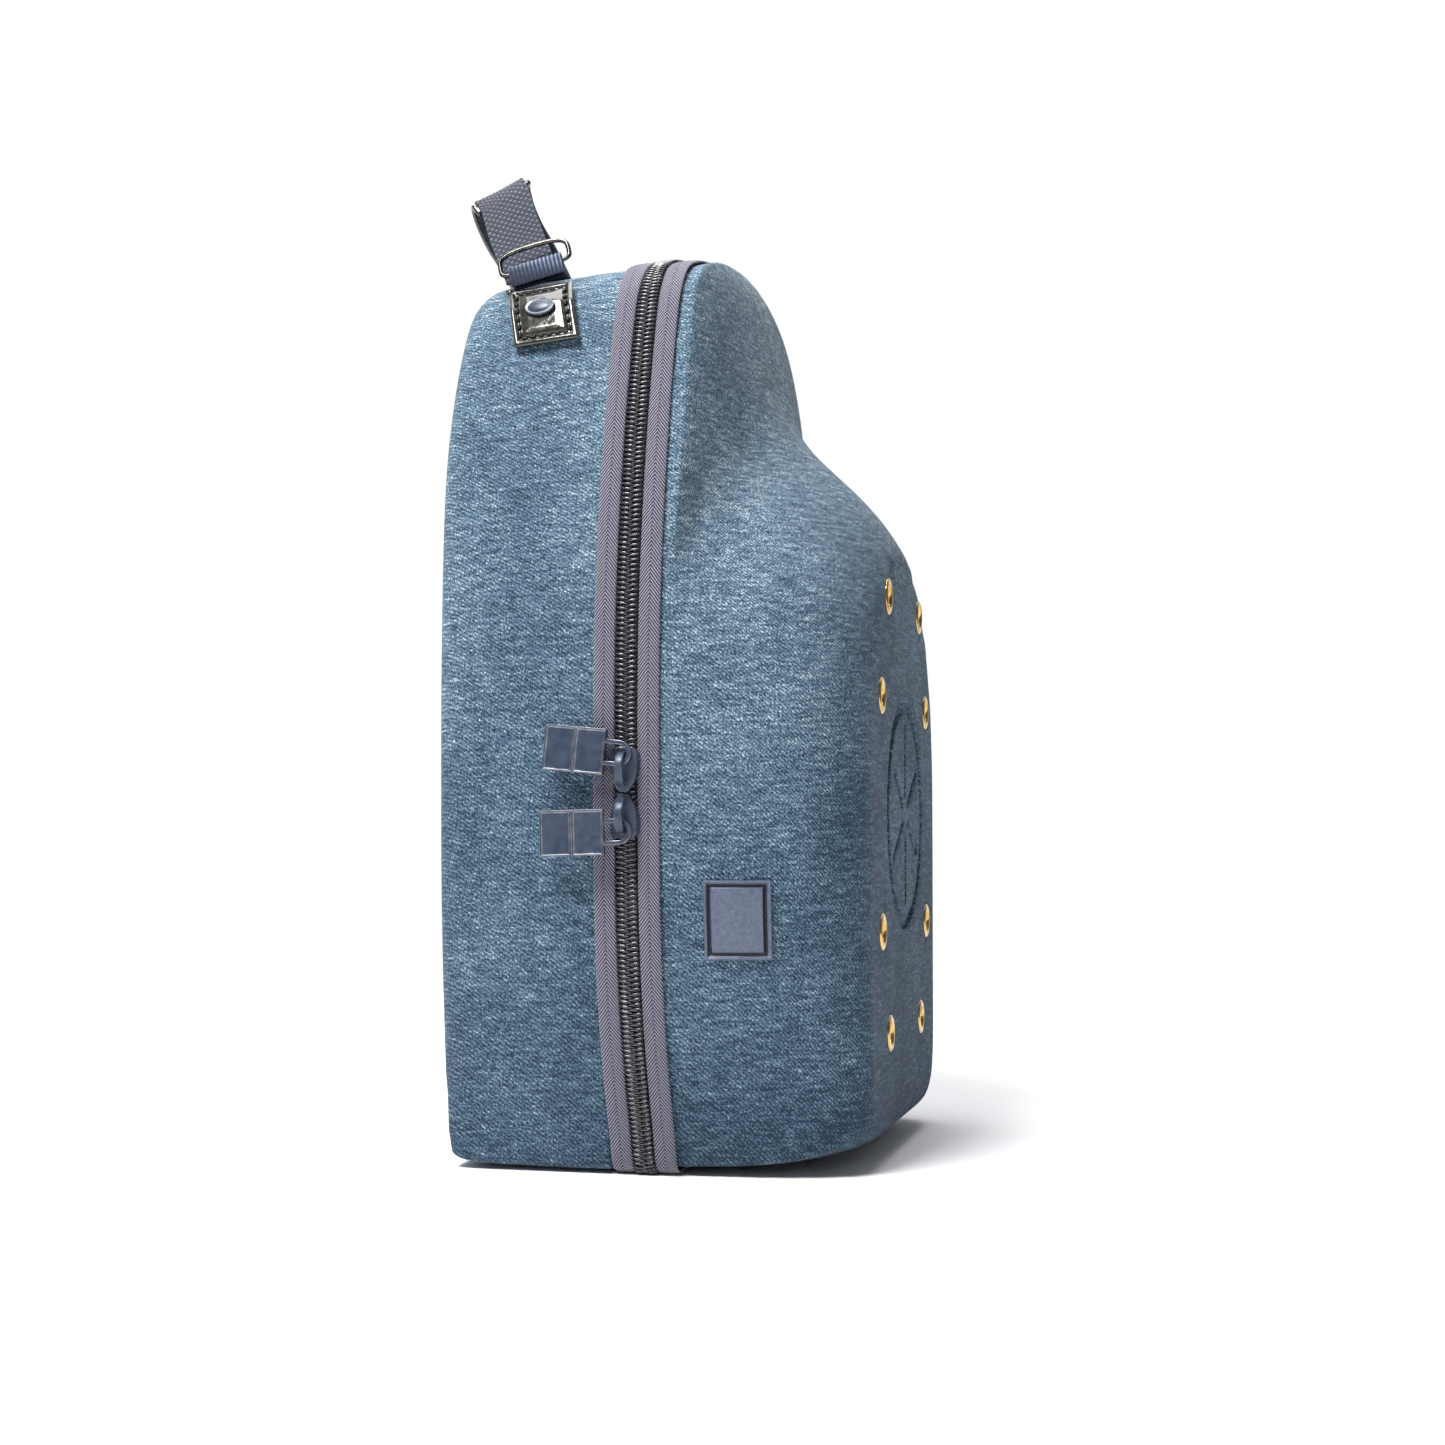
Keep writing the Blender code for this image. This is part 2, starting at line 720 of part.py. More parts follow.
def pull(name, pivot, lean, yaw):
    """A slab with a wire loop round the bridge's leg, lying towards the back."""
    mesh = bmesh.new()
    made = bmesh.ops.create_cube(mesh, size=1.0)
    size = Matrix.Diagonal((PULL_THICK, PULL_LONG, PULL_TALL, 1.0))
    shift = Matrix.Translation((0, LOOP_REACH + PULL_LONG / 2, 0))
    bmesh.ops.transform(mesh, matrix=shift @ size, verts=made["verts"])
    front = [f for f in mesh.faces if f.normal.x < -0.9]
    split = LOOP_REACH + PULL_LONG / 2
    geometry = front + list(front[0].edges) + list(front[0].verts)
    bmesh.ops.bisect_plane(mesh, geom=geometry, plane_co=(0, split, 0), plane_no=(0, 1, 0))
    front = [f for f in mesh.faces if f.normal.x < -0.9]
    bmesh.ops.inset_individual(mesh, faces=front, thickness=PULL_BORDER, depth=-PULL_SINK)
    turn = Matrix.Rotation(lean, 4, "X") @ Matrix.Rotation(yaw, 4, "Z")
    turn = Matrix.Translation(pivot) @ turn
    bmesh.ops.transform(mesh, matrix=turn, verts=mesh.verts)
    slab = finish(name, mesh, (0.06, 0.08, 0.17), 0.3, 0.6)
    wire = bmesh.new()
    path = [Vector((0, LOOP_REACH + 0.002, LOOP_HALF))]
    for i in range(9):
        angle = pi / 2 + pi * i / 8
        path.append(Vector((0, -LOOP_PAST + LOOP_HALF + LOOP_HALF * cos(angle), LOOP_HALF * sin(angle))))
    path.append(Vector((0, LOOP_REACH + 0.002, -LOOP_HALF)))
    frames = frames_along(path, [Vector((1, 0, 0))] * len(path))
    sweep(wire, frames, 2 * WIRE_HALF, 2 * WIRE_HALF)
    bmesh.ops.transform(wire, matrix=turn, verts=wire.verts)
    cut(slab, finish(name + "_loop", wire, (0.5, 0.5, 0.5), 0.5), "UNION")
    slab.data.transform(Matrix.Translation(-pivot))
    slab.location = pivot


def along_for_height(outline, height):
    """Where the far side of the zip line passes a height."""
    for i in range(SEGMENTS // 2):
        if outline[i].y <= height < outline[i + 1].y:
            return i + (height - outline[i].y) / (outline[i + 1].y - outline[i].y)
    return 0.0


def tab_place(outline, rise, wide):
    """A place on the shell under the far tab, and the way out there; its sides lean back."""
    spacing = (outline[1] - outline[0]).length
    along = along_for_height(outline, TAB_HEIGHT + SHELL_SUNK) + rise / spacing
    return back_point(outline, along, TAB_DEPTH + rise * TAB_SHEAR + wide)


def tab_frame(outline, rise, wide):
    """The same place with the ways up, across and out."""
    here, out = tab_place(outline, rise, wide)
    ahead = tab_place(outline, rise + 0.001, wide)[0] - here
    up = (ahead - out * ahead.dot(out)).normalized()
    across = out.cross(up)
    if across.y < 0:
        across.negate()
    return here, up, across, out


def to_side(vector, side):
    return Vector((vector.x * side, vector.y, vector.z))


def leather_tab(outline, name, side):
    mesh = bmesh.new()
    rows = []
    for i in range(6):
        row = []
        for j in range(4):
            spot, normal = tab_place(outline, TAB_LONG * (i / 5 - 0.5), TAB_WIDE * (j / 3 - 0.5))
            under = spot + normal * GAP * 3
            over = under + normal * TAB_THICK
            row.append((mesh.verts.new(to_side(under, side)), mesh.verts.new(to_side(over, side))))
        rows.append(row)
    slab_faces(mesh, rows)
    finish(name, mesh, (0.02, 0.02, 0.02), 0.12)


def rivet(outline, name, side):
    here, up, across, out = tab_frame(outline, RIVET_RISE, RIVET_BACK)
    basis = Matrix((to_side(across, side), to_side(-out, side), to_side(up, side))).transposed()
    seat = TAB_THICK + GAP * 5
    place = to_side(here + out * seat, side)
    profile = (
        (RIVET_RADIUS, 0.0),
        (RIVET_RADIUS * 0.92, RIVET_STAND * 0.7),
        (RIVET_RADIUS * 0.6, RIVET_STAND),
    )
    mesh = bmesh.new()
    rings = turned(mesh, profile, place, basis, 16)
    bridge_rings(mesh, rings)
    mesh.faces.new(rings[0])
    mesh.faces.new(list(reversed(rings[-1])))
    finish(name, mesh, (0.05, 0.06, 0.12), 0.35, 0.5)


def keeper_frame(outline):
    """Middle of the ring's lower bar, with the ways up, across and out there."""
    here, up, across, out = tab_frame(outline, TAB_LONG / 2, 0)
    climb = (up + Vector((0, 0, 1)) * KEEPER_UPRIGHT).normalized()
    bar = here + out * KEEPER_SEAT + climb * KEEPER_RISE + across * KEEPER_SHIFT
    climb = (climb - across * climb.dot(across)).normalized()
    out = climb.cross(across)
    if out.x < 0:
        out.negate()
    return bar, climb, across, out


def keeper_loop(outline, name, side):
    bar, climb, across, out = keeper_frame(outline)
    radius = RING_WIRE + KEEPER_SLACK + KEEPER_THICK / 2
    path = []
    low = KEEPER_RISE - KEEPER_FOOT
    path.append(bar - climb * low - out * radius * 0.5)
    for i in range(9):
        turn = pi * i / 8
        path.append(bar - out * cos(turn) * radius + climb * sin(turn) * radius)
    path.append(bar - climb * low + out * radius * 0.5)
    mesh = bmesh.new()
    path = [to_side(p, side) for p in path]
    frames = frames_along(path, [to_side(across, side)] * len(path))
    sweep(mesh, frames, KEEPER_WIDE, KEEPER_THICK)
    finish(name, mesh, (0.04, 0.06, 0.16), 0.85)


def handle_ring(outline, name, side):
    bar, climb, across, out = keeper_frame(outline)
    centre = bar + climb * RING_HALF_TALL
    mesh = bmesh.new()
    rings = []
    for i in range(24):
        turn = 2 * pi * (i + 0.5) / 24
        power = 0.7 if sin(turn) > 0 else 0.3
        long = RING_HALF_LONG * abs(cos(turn)) ** power * (1 if cos(turn) > 0 else -1)
        tall = RING_HALF_TALL * abs(sin(turn)) ** power * (1 if sin(turn) > 0 else -1)
        spot = centre + across * long + climb * tall
        away = (across * cos(turn) + climb * sin(turn)).normalized()
        ring = []
        for k in range(6):
            roll = 2 * pi * k / 6
            ring.append(mesh.verts.new(to_side(spot + (away * cos(roll) + out * sin(roll)) * RING_WIRE, side)))
        rings.append(ring)
    bridge_rings(mesh, rings + rings[:1])
    finish(name, mesh, (0.25, 0.25, 0.27), 0.25, 1.0)


def handle_path(outline):
    """Middle line of the handle and the way its width lies, from the near ring to the far one."""
    bar, climb, across, out = keeper_frame(outline)
    behind = RING_WIRE + KEEPER_SLACK + KEEPER_THICK + GAP + WEBBING_THICK / 2
    foot = bar - out * behind + across * HANDLE_SHIFT
    low = foot - climb * HANDLE_SEWN
    foot += climb * RING_WIRE
    places = [
        Vector((b.across * foot.x, foot.y + b.back * HANDLE_FALL_BACK, foot.z + b.up * HANDLE_RISE))
        for b in HANDLE_LINE
    ]
    path, widths = [to_side(low, -1)], [to_side(across, -1)]
    for i in range(len(places) - 1):
        four = [places[min(max(i + j, 0), len(places) - 1)] for j in (-1, 0, 1, 2)]
        for step in (0.0, 0.5):
            path.append(spline(*four, step))
            lean = radians(HANDLE_LINE[i].lean * (1 - step) + HANDLE_LINE[i + 1].lean * step)
            widths.append(Vector((0, cos(lean), -sin(lean))))
    widths[1] = widths[0]
    return path + [places[-1], low], widths + [across, across]


def handle(outline):
    path, ways = handle_path(outline)
    frames = frames_along(path, ways)
    mesh = bmesh.new()
    sweep(mesh, frames, WEBBING_WIDE, WEBBING_THICK)
    finish("handle_webbing", mesh, (0.05, 0.07, 0.16), 0.85)
    under = WEBBING_THICK / 2 + GRIP_GAP + GRIP_THICK / 2
    mesh = bmesh.new()
    sweep(mesh, frames[GRIP_FROM:-GRIP_FROM], GRIP_WIDE, GRIP_THICK, under)
    finish("handle_grip", mesh, (0.015, 0.015, 0.015), 0.15)


def build():
    clear_scene()
    outline = closed_curve(ZIP_LINE, SEGMENTS)
    form = FrontForm(shell_outline(outline, 0, BILL_PROUD))
    back_shell(outline)
    front_shell(outline, form)
    tape(outline, "back_tape", 1)
    tape(outline, "front_tape", -1)
    zip_coil(outline)
    hinge_panel(outline)
    eyelets()
    side_patch(form)
    half = SLIDER_LONG / 2 + SLIDER_APART / 2
    pull_x = -WIDTH / 2 - GAP - SLIDER_PLATE - 0.0026
    for name, way, lean, yaw in (("upper", 1, 5.5, -5), ("lower", -1, -1.5, 4)):
        middle = MEETING_HEIGHT + way * half
        slider(name + "_slider", middle, way)
        pivot = Vector((pull_x, 0, middle + way * BRIDGE_LEG))
        pull(name + "_pull", pivot, radians(lean), radians(yaw))
    for name, side in (("near", -1), ("far", 1)):
        leather_tab(outline, name + "_tab", side)
        rivet(outline, name + "_rivet", side)
        keeper_loop(outline, name + "_keeper", side)
        handle_ring(outline, name + "_ring", side)
    handle(outline)


build()
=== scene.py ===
# %% [markdown]
# # A moulded carrier case for caps, dressed for its photograph
# The solids of the case come ready made. This lesson puts the cloth, the zip teeth, the
# weave of the handle and the metal finishes on them, in the same place and at the same size.

# %% Tools and the solids
import json
from math import cos, pi, radians, sin

import bmesh
import bpy
from mathutils import Matrix, Vector
from mathutils.bvhtree import BVHTree

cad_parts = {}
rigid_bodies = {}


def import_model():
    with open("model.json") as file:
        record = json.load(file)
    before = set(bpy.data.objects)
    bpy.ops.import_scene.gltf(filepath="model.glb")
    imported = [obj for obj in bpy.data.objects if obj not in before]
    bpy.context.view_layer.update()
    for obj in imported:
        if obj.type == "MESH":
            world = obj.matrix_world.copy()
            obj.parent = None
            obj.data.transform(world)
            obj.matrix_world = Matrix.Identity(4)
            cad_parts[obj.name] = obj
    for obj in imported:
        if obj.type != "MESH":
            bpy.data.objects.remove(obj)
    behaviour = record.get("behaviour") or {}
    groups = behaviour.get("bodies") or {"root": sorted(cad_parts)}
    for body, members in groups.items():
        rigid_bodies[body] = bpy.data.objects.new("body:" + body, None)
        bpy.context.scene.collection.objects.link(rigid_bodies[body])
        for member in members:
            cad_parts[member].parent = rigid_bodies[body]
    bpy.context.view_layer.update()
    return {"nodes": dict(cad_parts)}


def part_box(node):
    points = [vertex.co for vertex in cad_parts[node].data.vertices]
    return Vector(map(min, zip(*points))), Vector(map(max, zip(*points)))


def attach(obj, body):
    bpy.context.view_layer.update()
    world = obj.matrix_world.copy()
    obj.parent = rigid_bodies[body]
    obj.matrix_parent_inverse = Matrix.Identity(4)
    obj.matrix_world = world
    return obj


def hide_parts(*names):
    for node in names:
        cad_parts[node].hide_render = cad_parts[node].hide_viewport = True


for leftover in list(bpy.data.objects):
    bpy.data.objects.remove(leftover)
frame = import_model()

# %% [markdown]
# ## Small helpers for meshes
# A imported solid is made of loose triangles. Merged and joined back into four-sided faces it
# can be smoothed, bevelled or followed. The solid itself is left alone: each helper works
# on a copy, and the new piece then stands for the solid.

# %% Copies of solids with four-sided faces
CASE = "case"
SAME_POINT = 1e-5


def quads_of(node):
    """A copy of a solid's mesh, merged and joined into four-sided faces."""
    mesh = bmesh.new()
    mesh.from_mesh(frame["nodes"][node].data)
    bmesh.ops.remove_doubles(mesh, verts=mesh.verts, dist=SAME_POINT)
    bmesh.ops.join_triangles(
        mesh, faces=mesh.faces, angle_face_threshold=radians(179), angle_shape_threshold=radians(180)
    )
    return mesh


def finished(name, mesh, finish, body=CASE):
    """Turns a bmesh into a smoothly shaded piece that rides on a body."""
    data = bpy.data.meshes.new(name)
    mesh.to_mesh(data)
    mesh.free()
    for face in data.polygons:
        face.use_smooth = True
    piece = bpy.data.objects.new(name, data)
    bpy.context.collection.objects.link(piece)
    data.materials.append(finish)
    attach(piece, body)
    return piece


def walled(piece, thick):
    """Gives an open sheet its thickness, inwards from the side that shows."""
    wall = piece.modifiers.new("wall", "SOLIDIFY")
    wall.thickness = thick
    wall.offset = -1


def subdivided(piece, levels):
    """Splits every face in four and rounds the result, as often as levels says."""
    change = piece.modifiers.new("smoother", "SUBSURF")
    change.levels = levels
    change.render_levels = levels


print("front shell has", len(quads_of("front_shell").faces), "faces after joining")

# %% [markdown]
# ## Following a strip
# The tapes and the straps were swept along a path, so each solid is a row of rings with four
# corners. Walking from one end cap to the other finds those rings again, and a smooth curve
# through their middles gives as many places as a fine weave needs.

# %% Rings of a swept solid
NEAR_FIRST = 0.01


def rings_of(node):
    """The corners of each ring, from the higher end, or from the near one of two level ends."""
    mesh = quads_of(node)
    ends = {v for v in mesh.verts if len(v.link_edges) == 3}
    caps = [f for f in mesh.faces if len(f.verts) == 4 and all(v in ends for v in f.verts)]
    cap = max(caps, key=lambda f: f.calc_center_median().z - f.calc_center_median().x * NEAR_FIRST)
    ring, seen, rings = list(cap.verts), set(), []
    while ring:
        rings.append([v.co.copy() for v in ring])
        seen |= set(ring)
        ahead = [[e.other_vert(v) for e in v.link_edges if e.other_vert(v) not in seen] for v in ring]
        ring = [found[0] for found in ahead] if all(ahead) else []
    mesh.free()
    return rings


def sections_of(node, outside):
    """Middle, way across and way out of each ring, with the way out kept on one side."""
    middles, across, out = [], [], []
    for a, b, c, d in rings_of(node):
        first, second = (b - a + c - d) / 2, (d - a + c - b) / 2
        wide, thick = (first, second) if first.length > second.length else (second, first)
        middles.append((a + b + c + d) / 4)
        if out:
            thick = -thick if thick.dot(out[-1]) < 0 else thick
        elif thick.dot(outside(middles[-1])) < 0:
            thick = -thick
        across.append(wide)
        out.append(thick)
    return middles, across, out


print("back tape has", len(rings_of("back_tape")), "rings")

# %% A finer row of places along the rings
CASE_MIDDLE = Vector((0, 0, 0.17))


def away_from_case(place):
    """The way out for a strip that runs round the case."""
    return place - CASE_MIDDLE


def spots_between(middles, out, step):
    """Spots about a step apart on a smooth curve through the middles, each with its way out."""
    spots = []
    for i in range(len(middles) - 1):
        p0, p3 = middles[max(i - 1, 0)], middles[min(i + 2, len(middles) - 1)]
        p1, p2 = middles[i], middles[i + 1]
        count = max(2, round((p2 - p1).length / step))
        for k in range(count):
            t = k / count
            spot = 0.5 * (2 * p1 + (p2 - p0) * t + (2 * p0 - 5 * p1 + 4 * p2 - p3) * t * t
                          + (3 * p1 - p0 - 3 * p2 + p3) * t ** 3)
            spots.append((spot, out[i].lerp(out[i + 1], t)))
    spots.append((middles[-1], out[-1]))
    return spots


def places_along(node, outside, step):
    """Place, way across and way out at even steps along a strip's outer face, and its width."""
    middles, across, out = sections_of(node, outside)
    spots = spots_between(middles, out, step)
    last = len(spots) - 1
    places = []
    for i, (spot, normal) in enumerate(spots):
        along = (spots[min(i + 1, last)][0] - spots[max(i - 1, 0)][0]).normalized()
        normal = (normal - along * normal.dot(along)).normalized()
        places.append((spot + normal * out[0].length / 2, normal.cross(along), normal))
    return places, across[len(across) // 2].length


print("back tape is", round(places_along("back_tape", away_from_case, 0.01)[1] * 1000, 1), "mm wide")

# %% A grid bent along the places


def level(along, side):
    """The relief of a strip that has none."""
    return 0.0


def lay_strip(name, places, wide, columns, lift, finish):
    """Bends a flat grid along the places; lift raises it by (metres along, metres across)."""
    mesh = bmesh.new()
    last = len(places) - 1
    bmesh.ops.create_grid(mesh, x_segments=last, y_segments=columns, size=0.5)
    travel = [0.0]
    for before, after in zip(places, places[1:]):
        travel.append(travel[-1] + (after[0] - before[0]).length)
    spread = mesh.loops.layers.uv.new("weave")
    for face in mesh.faces:
        for loop in face.loops:
            i = round((loop.vert.co.x + 0.5) * last)
            loop[spread].uv = (travel[i], loop.vert.co.y * wide)
    for vertex in mesh.verts:
        i, side = round((vertex.co.x + 0.5) * last), vertex.co.y * wide
        middle, across, out = places[i]
        vertex.co = middle + across * side + out * lift(travel[i], side)
    piece = finished(name, mesh, finish)
    print(name, "is", round(travel[-1] * 1000), "mm long,", len(piece.data.polygons), "faces")
    return piece


print("strips can be laid")

# %% [markdown]
# ## Small helpers for finishes
# Every finish is a principled shader. Its pattern is arithmetic on where the surface is: in
# metres in the object's own space for moulded cloth, and along and across the strip for
# tapes and webbing, so the weave turns with the strip.

# %% A finish and arithmetic on its sockets


def new_finish(name, roughness, metallic=0.0):
    """A finish with its node tree and its shader."""
    finish = bpy.data.materials.new(name)
    finish.use_nodes = True
    shader = finish.node_tree.nodes["Principled BSDF"]
    shader.inputs["Roughness"].default_value = roughness
    shader.inputs["Metallic"].default_value = metallic
    return finish, finish.node_tree, shader


def plug(tree, socket, value):
    """Links a socket to another one, or sets it to a number."""
    if isinstance(value, bpy.types.NodeSocket):
        tree.links.new(value, socket)
    else:
        socket.default_value = value


def maths(tree, operation, first, second=0.0):
    """One step of arithmetic on numbers or sockets."""
    step = tree.nodes.new("ShaderNodeMath")
    step.operation = operation
    plug(tree, step.inputs[0], first)
    plug(tree, step.inputs[1], second)
    return step.outputs[0]


def half_wave(tree, phase):
    """A sine from 0 to 1 of a phase counted in whole turns."""
    turned = maths(tree, "SINE", maths(tree, "MULTIPLY", phase, 2 * pi))
    return maths(tree, "ADD", maths(tree, "MULTIPLY", turned, 0.5), 0.5)


print("arithmetic for finishes ready")

# %% Noise, ramps of colour and bumps


def grains(tree, place, scale, detail, stretch=(1, 1, 1)):
    """Soft noise with about scale spots to the metre; a stretch under 1 draws them out."""
    shift = tree.nodes.new("ShaderNodeMapping")
    shift.inputs["Scale"].default_value = stretch
    tree.links.new(place, shift.inputs["Vector"])
    cloud = tree.nodes.new("ShaderNodeTexNoise")
    cloud.inputs["Scale"].default_value = scale
    cloud.inputs["Detail"].default_value = detail
    tree.links.new(shift.outputs["Vector"], cloud.inputs["Vector"])
    return cloud.outputs["Fac"]


def colours(tree, value, stops):
    """A ramp of colours, each with the value at which it is reached."""
    band = tree.nodes.new("ShaderNodeValToRGB")
    line = band.color_ramp
    while len(line.elements) < len(stops):
        line.elements.new(0.5)
    for element, (at, colour) in zip(line.elements, stops):
        element.position = at
        element.color = (*colour, 1)
    tree.links.new(value, band.inputs["Fac"])
    return band.outputs["Color"]


def raised(tree, shader, height, distance, strength):
    """Shades the surface as if the height, times a distance in metres, stood out of it."""
    bump = tree.nodes.new("ShaderNodeBump")
    bump.inputs["Distance"].default_value = distance
    bump.inputs["Strength"].default_value = strength
    tree.links.new(height, bump.inputs["Height"])
    tree.links.new(bump.outputs["Normal"], shader.inputs["Normal"])


print("noise, ramps and bumps ready")

# %% Where a pattern is on its piece


def object_place(tree):
    """The place on the piece, in metres."""
    return tree.nodes.new("ShaderNodeTexCoord").outputs["Object"]


def weave_place(tree):
    """Metres along and across a strip."""
    chart = tree.nodes.new("ShaderNodeUVMap")
    chart.uv_map = "weave"
    return chart.outputs["UV"]


def parts_of(tree, place):
    """The three numbers of a place."""
    split = tree.nodes.new("ShaderNodeSeparateXYZ")
    tree.links.new(place, split.inputs["Vector"])
    return split.outputs


print("places on a piece ready")

# %% [markdown]
# ## Denim
# The cloth is a washed blue-grey twill. On the real case the wale runs down to the right
# across the near side, single pale yarns catch the light as flecks, and thicker yarns make
# short level streaks. One slanting phase in metres carries the wale round both halves.
# Painted light makes the cloth paler towards the top, and painted shade makes the front face darker.

# %% Denim finish
WALE_PITCH = 0.00125
WALE_ACROSS, WALE_UP = 0.57, 0.82
WALE_SHARE = 0.17
FLECK_SHARE, STREAK_SHARE, CLOUD_SHARE = 1.30, 0.60, 0.35
# Painted light: how much paler the cloth is painted per metre of height.
PAINTED_LIGHT_UPWARDS = 0.55
# Painted shade on the front face: where it starts, how deep it reaches, and how much darker it is
# painted.
FRONT_SHADE_STARTS, FRONT_SHADE_DEPTH = 0.058, 0.02
FRONT_PAINTED_SHADE = 3.8
MIDDLE_TONE = 0.240


def denim_finish():
    """Twill whose tone is a sum of wale, flecks, streaks and slow clouds, with painted light towards
    the top and painted shade on the front face.
    """
    finish, tree, shader = new_finish("denim", 0.9)
    place = object_place(tree)
    x, y, z = parts_of(tree, place)
    slant = maths(tree, "MULTIPLY", maths(tree, "SUBTRACT", x, y), WALE_ACROSS)
    slant = maths(tree, "ADD", slant, maths(tree, "MULTIPLY", z, WALE_UP))
    wander = maths(tree, "MULTIPLY", grains(tree, place, 150, 2), 1.5)
    wale = half_wave(tree, maths(tree, "ADD", maths(tree, "DIVIDE", slant, WALE_PITCH), wander))
    fleck = grains(tree, place, 1500, 3)
    streak = grains(tree, place, 900, 2, (0.16, 0.16, 1))
    cloud = grains(tree, place, 16, 3)
    tone = maths(tree, "MULTIPLY", wale, WALE_SHARE)
    for part, share in ((fleck, FLECK_SHARE), (streak, STREAK_SHARE), (cloud, CLOUD_SHARE)):
        part = maths(tree, "MULTIPLY", maths(tree, "SUBTRACT", part, 0.5), share)
        tone = maths(tree, "ADD", tone, part)
    # Painted light: the tone rises with height, as if more light falls on the top.
    tone = maths(tree, "ADD", tone, maths(tree, "MULTIPLY", z, PAINTED_LIGHT_UPWARDS))
    # Painted shade: past a set distance in front, the tone is painted darker, up to a set depth.
    front = maths(tree, "SUBTRACT", maths(tree, "MULTIPLY", y, -1.0), FRONT_SHADE_STARTS)
    front = maths(tree, "MINIMUM", maths(tree, "MAXIMUM", front, 0.0), FRONT_SHADE_DEPTH)
    tone = maths(tree, "SUBTRACT", tone, maths(tree, "MULTIPLY", front, FRONT_PAINTED_SHADE))
    tone = maths(tree, "ADD", tone, MIDDLE_TONE)
    colour = colours(tree, tone, (
        (0.20, (0.012, 0.028, 0.052)),
        (0.42, (0.062, 0.112, 0.165)),
        (0.60, (0.140, 0.215, 0.280)),
        (0.84, (0.560, 0.640, 0.690)),
    ))
    tree.links.new(colour, shader.inputs["Base Color"])
    shader.inputs["Sheen Weight"].default_value = 0.06
    shader.inputs["Sheen Roughness"].default_value = 0.5
    shader.inputs["Specular IOR Level"].default_value = 0.25
    relief = maths(tree, "ADD", maths(tree, "MULTIPLY", wale, 0.45), fleck)
    raised(tree, shader, relief, 0.0004, 0.7)
    return finish


DENIM = denim_finish()
print("denim wale every", WALE_PITCH * 1000, "mm")

# %% [markdown]
# ## The two moulded halves
# Each half is heated foam with the denim bonded to it, pressed in a mould, so its corners are
# soft but the sunk emblem and the eyelet holes are sharp. The solid's faces are wide. Marking
# its sharp edges as creases and subdividing the rest gives the smooth moulded skin.

# %% Smooth halves with crisp sunk parts
FLAT = radians(0.05)
FOLD = radians(35)
SHARP = radians(38)
CREASE = 0.9
SMOOTH_ABOVE = 0.15
SMOOTH_BEFORE = -0.0125


def is_sharp(edge, limit):
    """Whether an edge folds by more than the limit."""
    return len(edge.link_faces) == 2 and edge.calc_face_angle(0) > limit


def join_flat_triangles(mesh):
    """Takes out the edges between triangles that lie in one plane."""
    flats = [e for e in mesh.edges if len(e.link_faces) == 2 and e.calc_face_angle(0) < FLAT]
    flats = [e for e in flats if all(len(f.verts) == 3 for f in e.link_faces)]
    bmesh.ops.dissolve_edges(mesh, edges=flats, use_verts=False, use_face_split=False)


def even_out(mesh):
    """Smooths the round skin of the upper half in front of the zip, and leaves its folds alone."""
    soft = [v for v in mesh.verts if v.co.z > SMOOTH_ABOVE and v.co.y < SMOOTH_BEFORE
            and all(not is_sharp(e, FOLD) for e in v.link_edges)
            and len(v.link_edges) == 4]
    bmesh.ops.smooth_vert(mesh, verts=soft, factor=0.5, use_axis_x=True, use_axis_y=True,
                          use_axis_z=True)


def moulded(node, name, smoothing):
    """A half of the case as smooth moulded cloth, with creases where its solid is sharp."""
    mesh = quads_of(node)
    join_flat_triangles(mesh)
    for _ in range(smoothing):
        even_out(mesh)
    crease = mesh.edges.layers.float.new("crease_edge")
    for edge in mesh.edges:
        if is_sharp(edge, SHARP):
            edge[crease] = CREASE
    piece = finished(name, mesh, DENIM)
    subdivided(piece, 2)
    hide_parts(node)
    print(name, "has", len(piece.data.polygons), "faces before subdividing")


moulded("back_shell", "back_half", 0)
moulded("front_shell", "front_half", 2)

# %% [markdown]
# ## Zip tape
# The tape is a herringbone: two bands of slanting ribs that meet in the middle of each tape,
# so the chevrons point up the near side. A grid laid along the tape's solid takes the
# pattern from how far along and how far across it is. Its edges roll down onto the cloth.

# %% Herringbone tapes
RIB_PITCH = 0.00145
RIB_SLOPE = 1.35
SPINE = 0.0005
TAPE_STEP, TAPE_COLUMNS = 0.004, 10
TAPE_THICK = 0.0009
TAPE_ROLL = 0.0004
TAPE_SUNK = 0.0002
ROLL_REACH = 0.0040


def tape_finish():
    """Slanting ribs that meet in a darker line along the middle of the tape."""
    finish, tree, shader = new_finish("zip_tape", 0.7)
    along, across, _ = parts_of(tree, weave_place(tree))
    off_middle = maths(tree, "ABSOLUTE", across)
    slant = maths(tree, "MULTIPLY", off_middle, RIB_SLOPE)
    rib = half_wave(tree, maths(tree, "DIVIDE", maths(tree, "SUBTRACT", along, slant), RIB_PITCH))
    thread = grains(tree, object_place(tree), 1600, 2)
    spine = maths(tree, "MINIMUM", maths(tree, "DIVIDE", off_middle, SPINE), 1.0)
    gap = maths(tree, "MULTIPLY", maths(tree, "SUBTRACT", 1.0, spine), 0.15)
    tone = maths(tree, "MULTIPLY", rib, 0.80)
    tone = maths(tree, "ADD", tone, maths(tree, "MULTIPLY", thread, 0.25))
    tone = maths(tree, "SUBTRACT", tone, gap)
    colour = colours(tree, tone, (
        (0.22, (0.014, 0.014, 0.038)),
        (0.55, (0.066, 0.062, 0.100)),
        (0.94, (0.330, 0.310, 0.380)),
    ))
    tree.links.new(colour, shader.inputs["Base Color"])
    shader.inputs["Sheen Weight"].default_value = 0.2
    raised(tree, shader, rib, 0.0003, 0.9)
    return finish


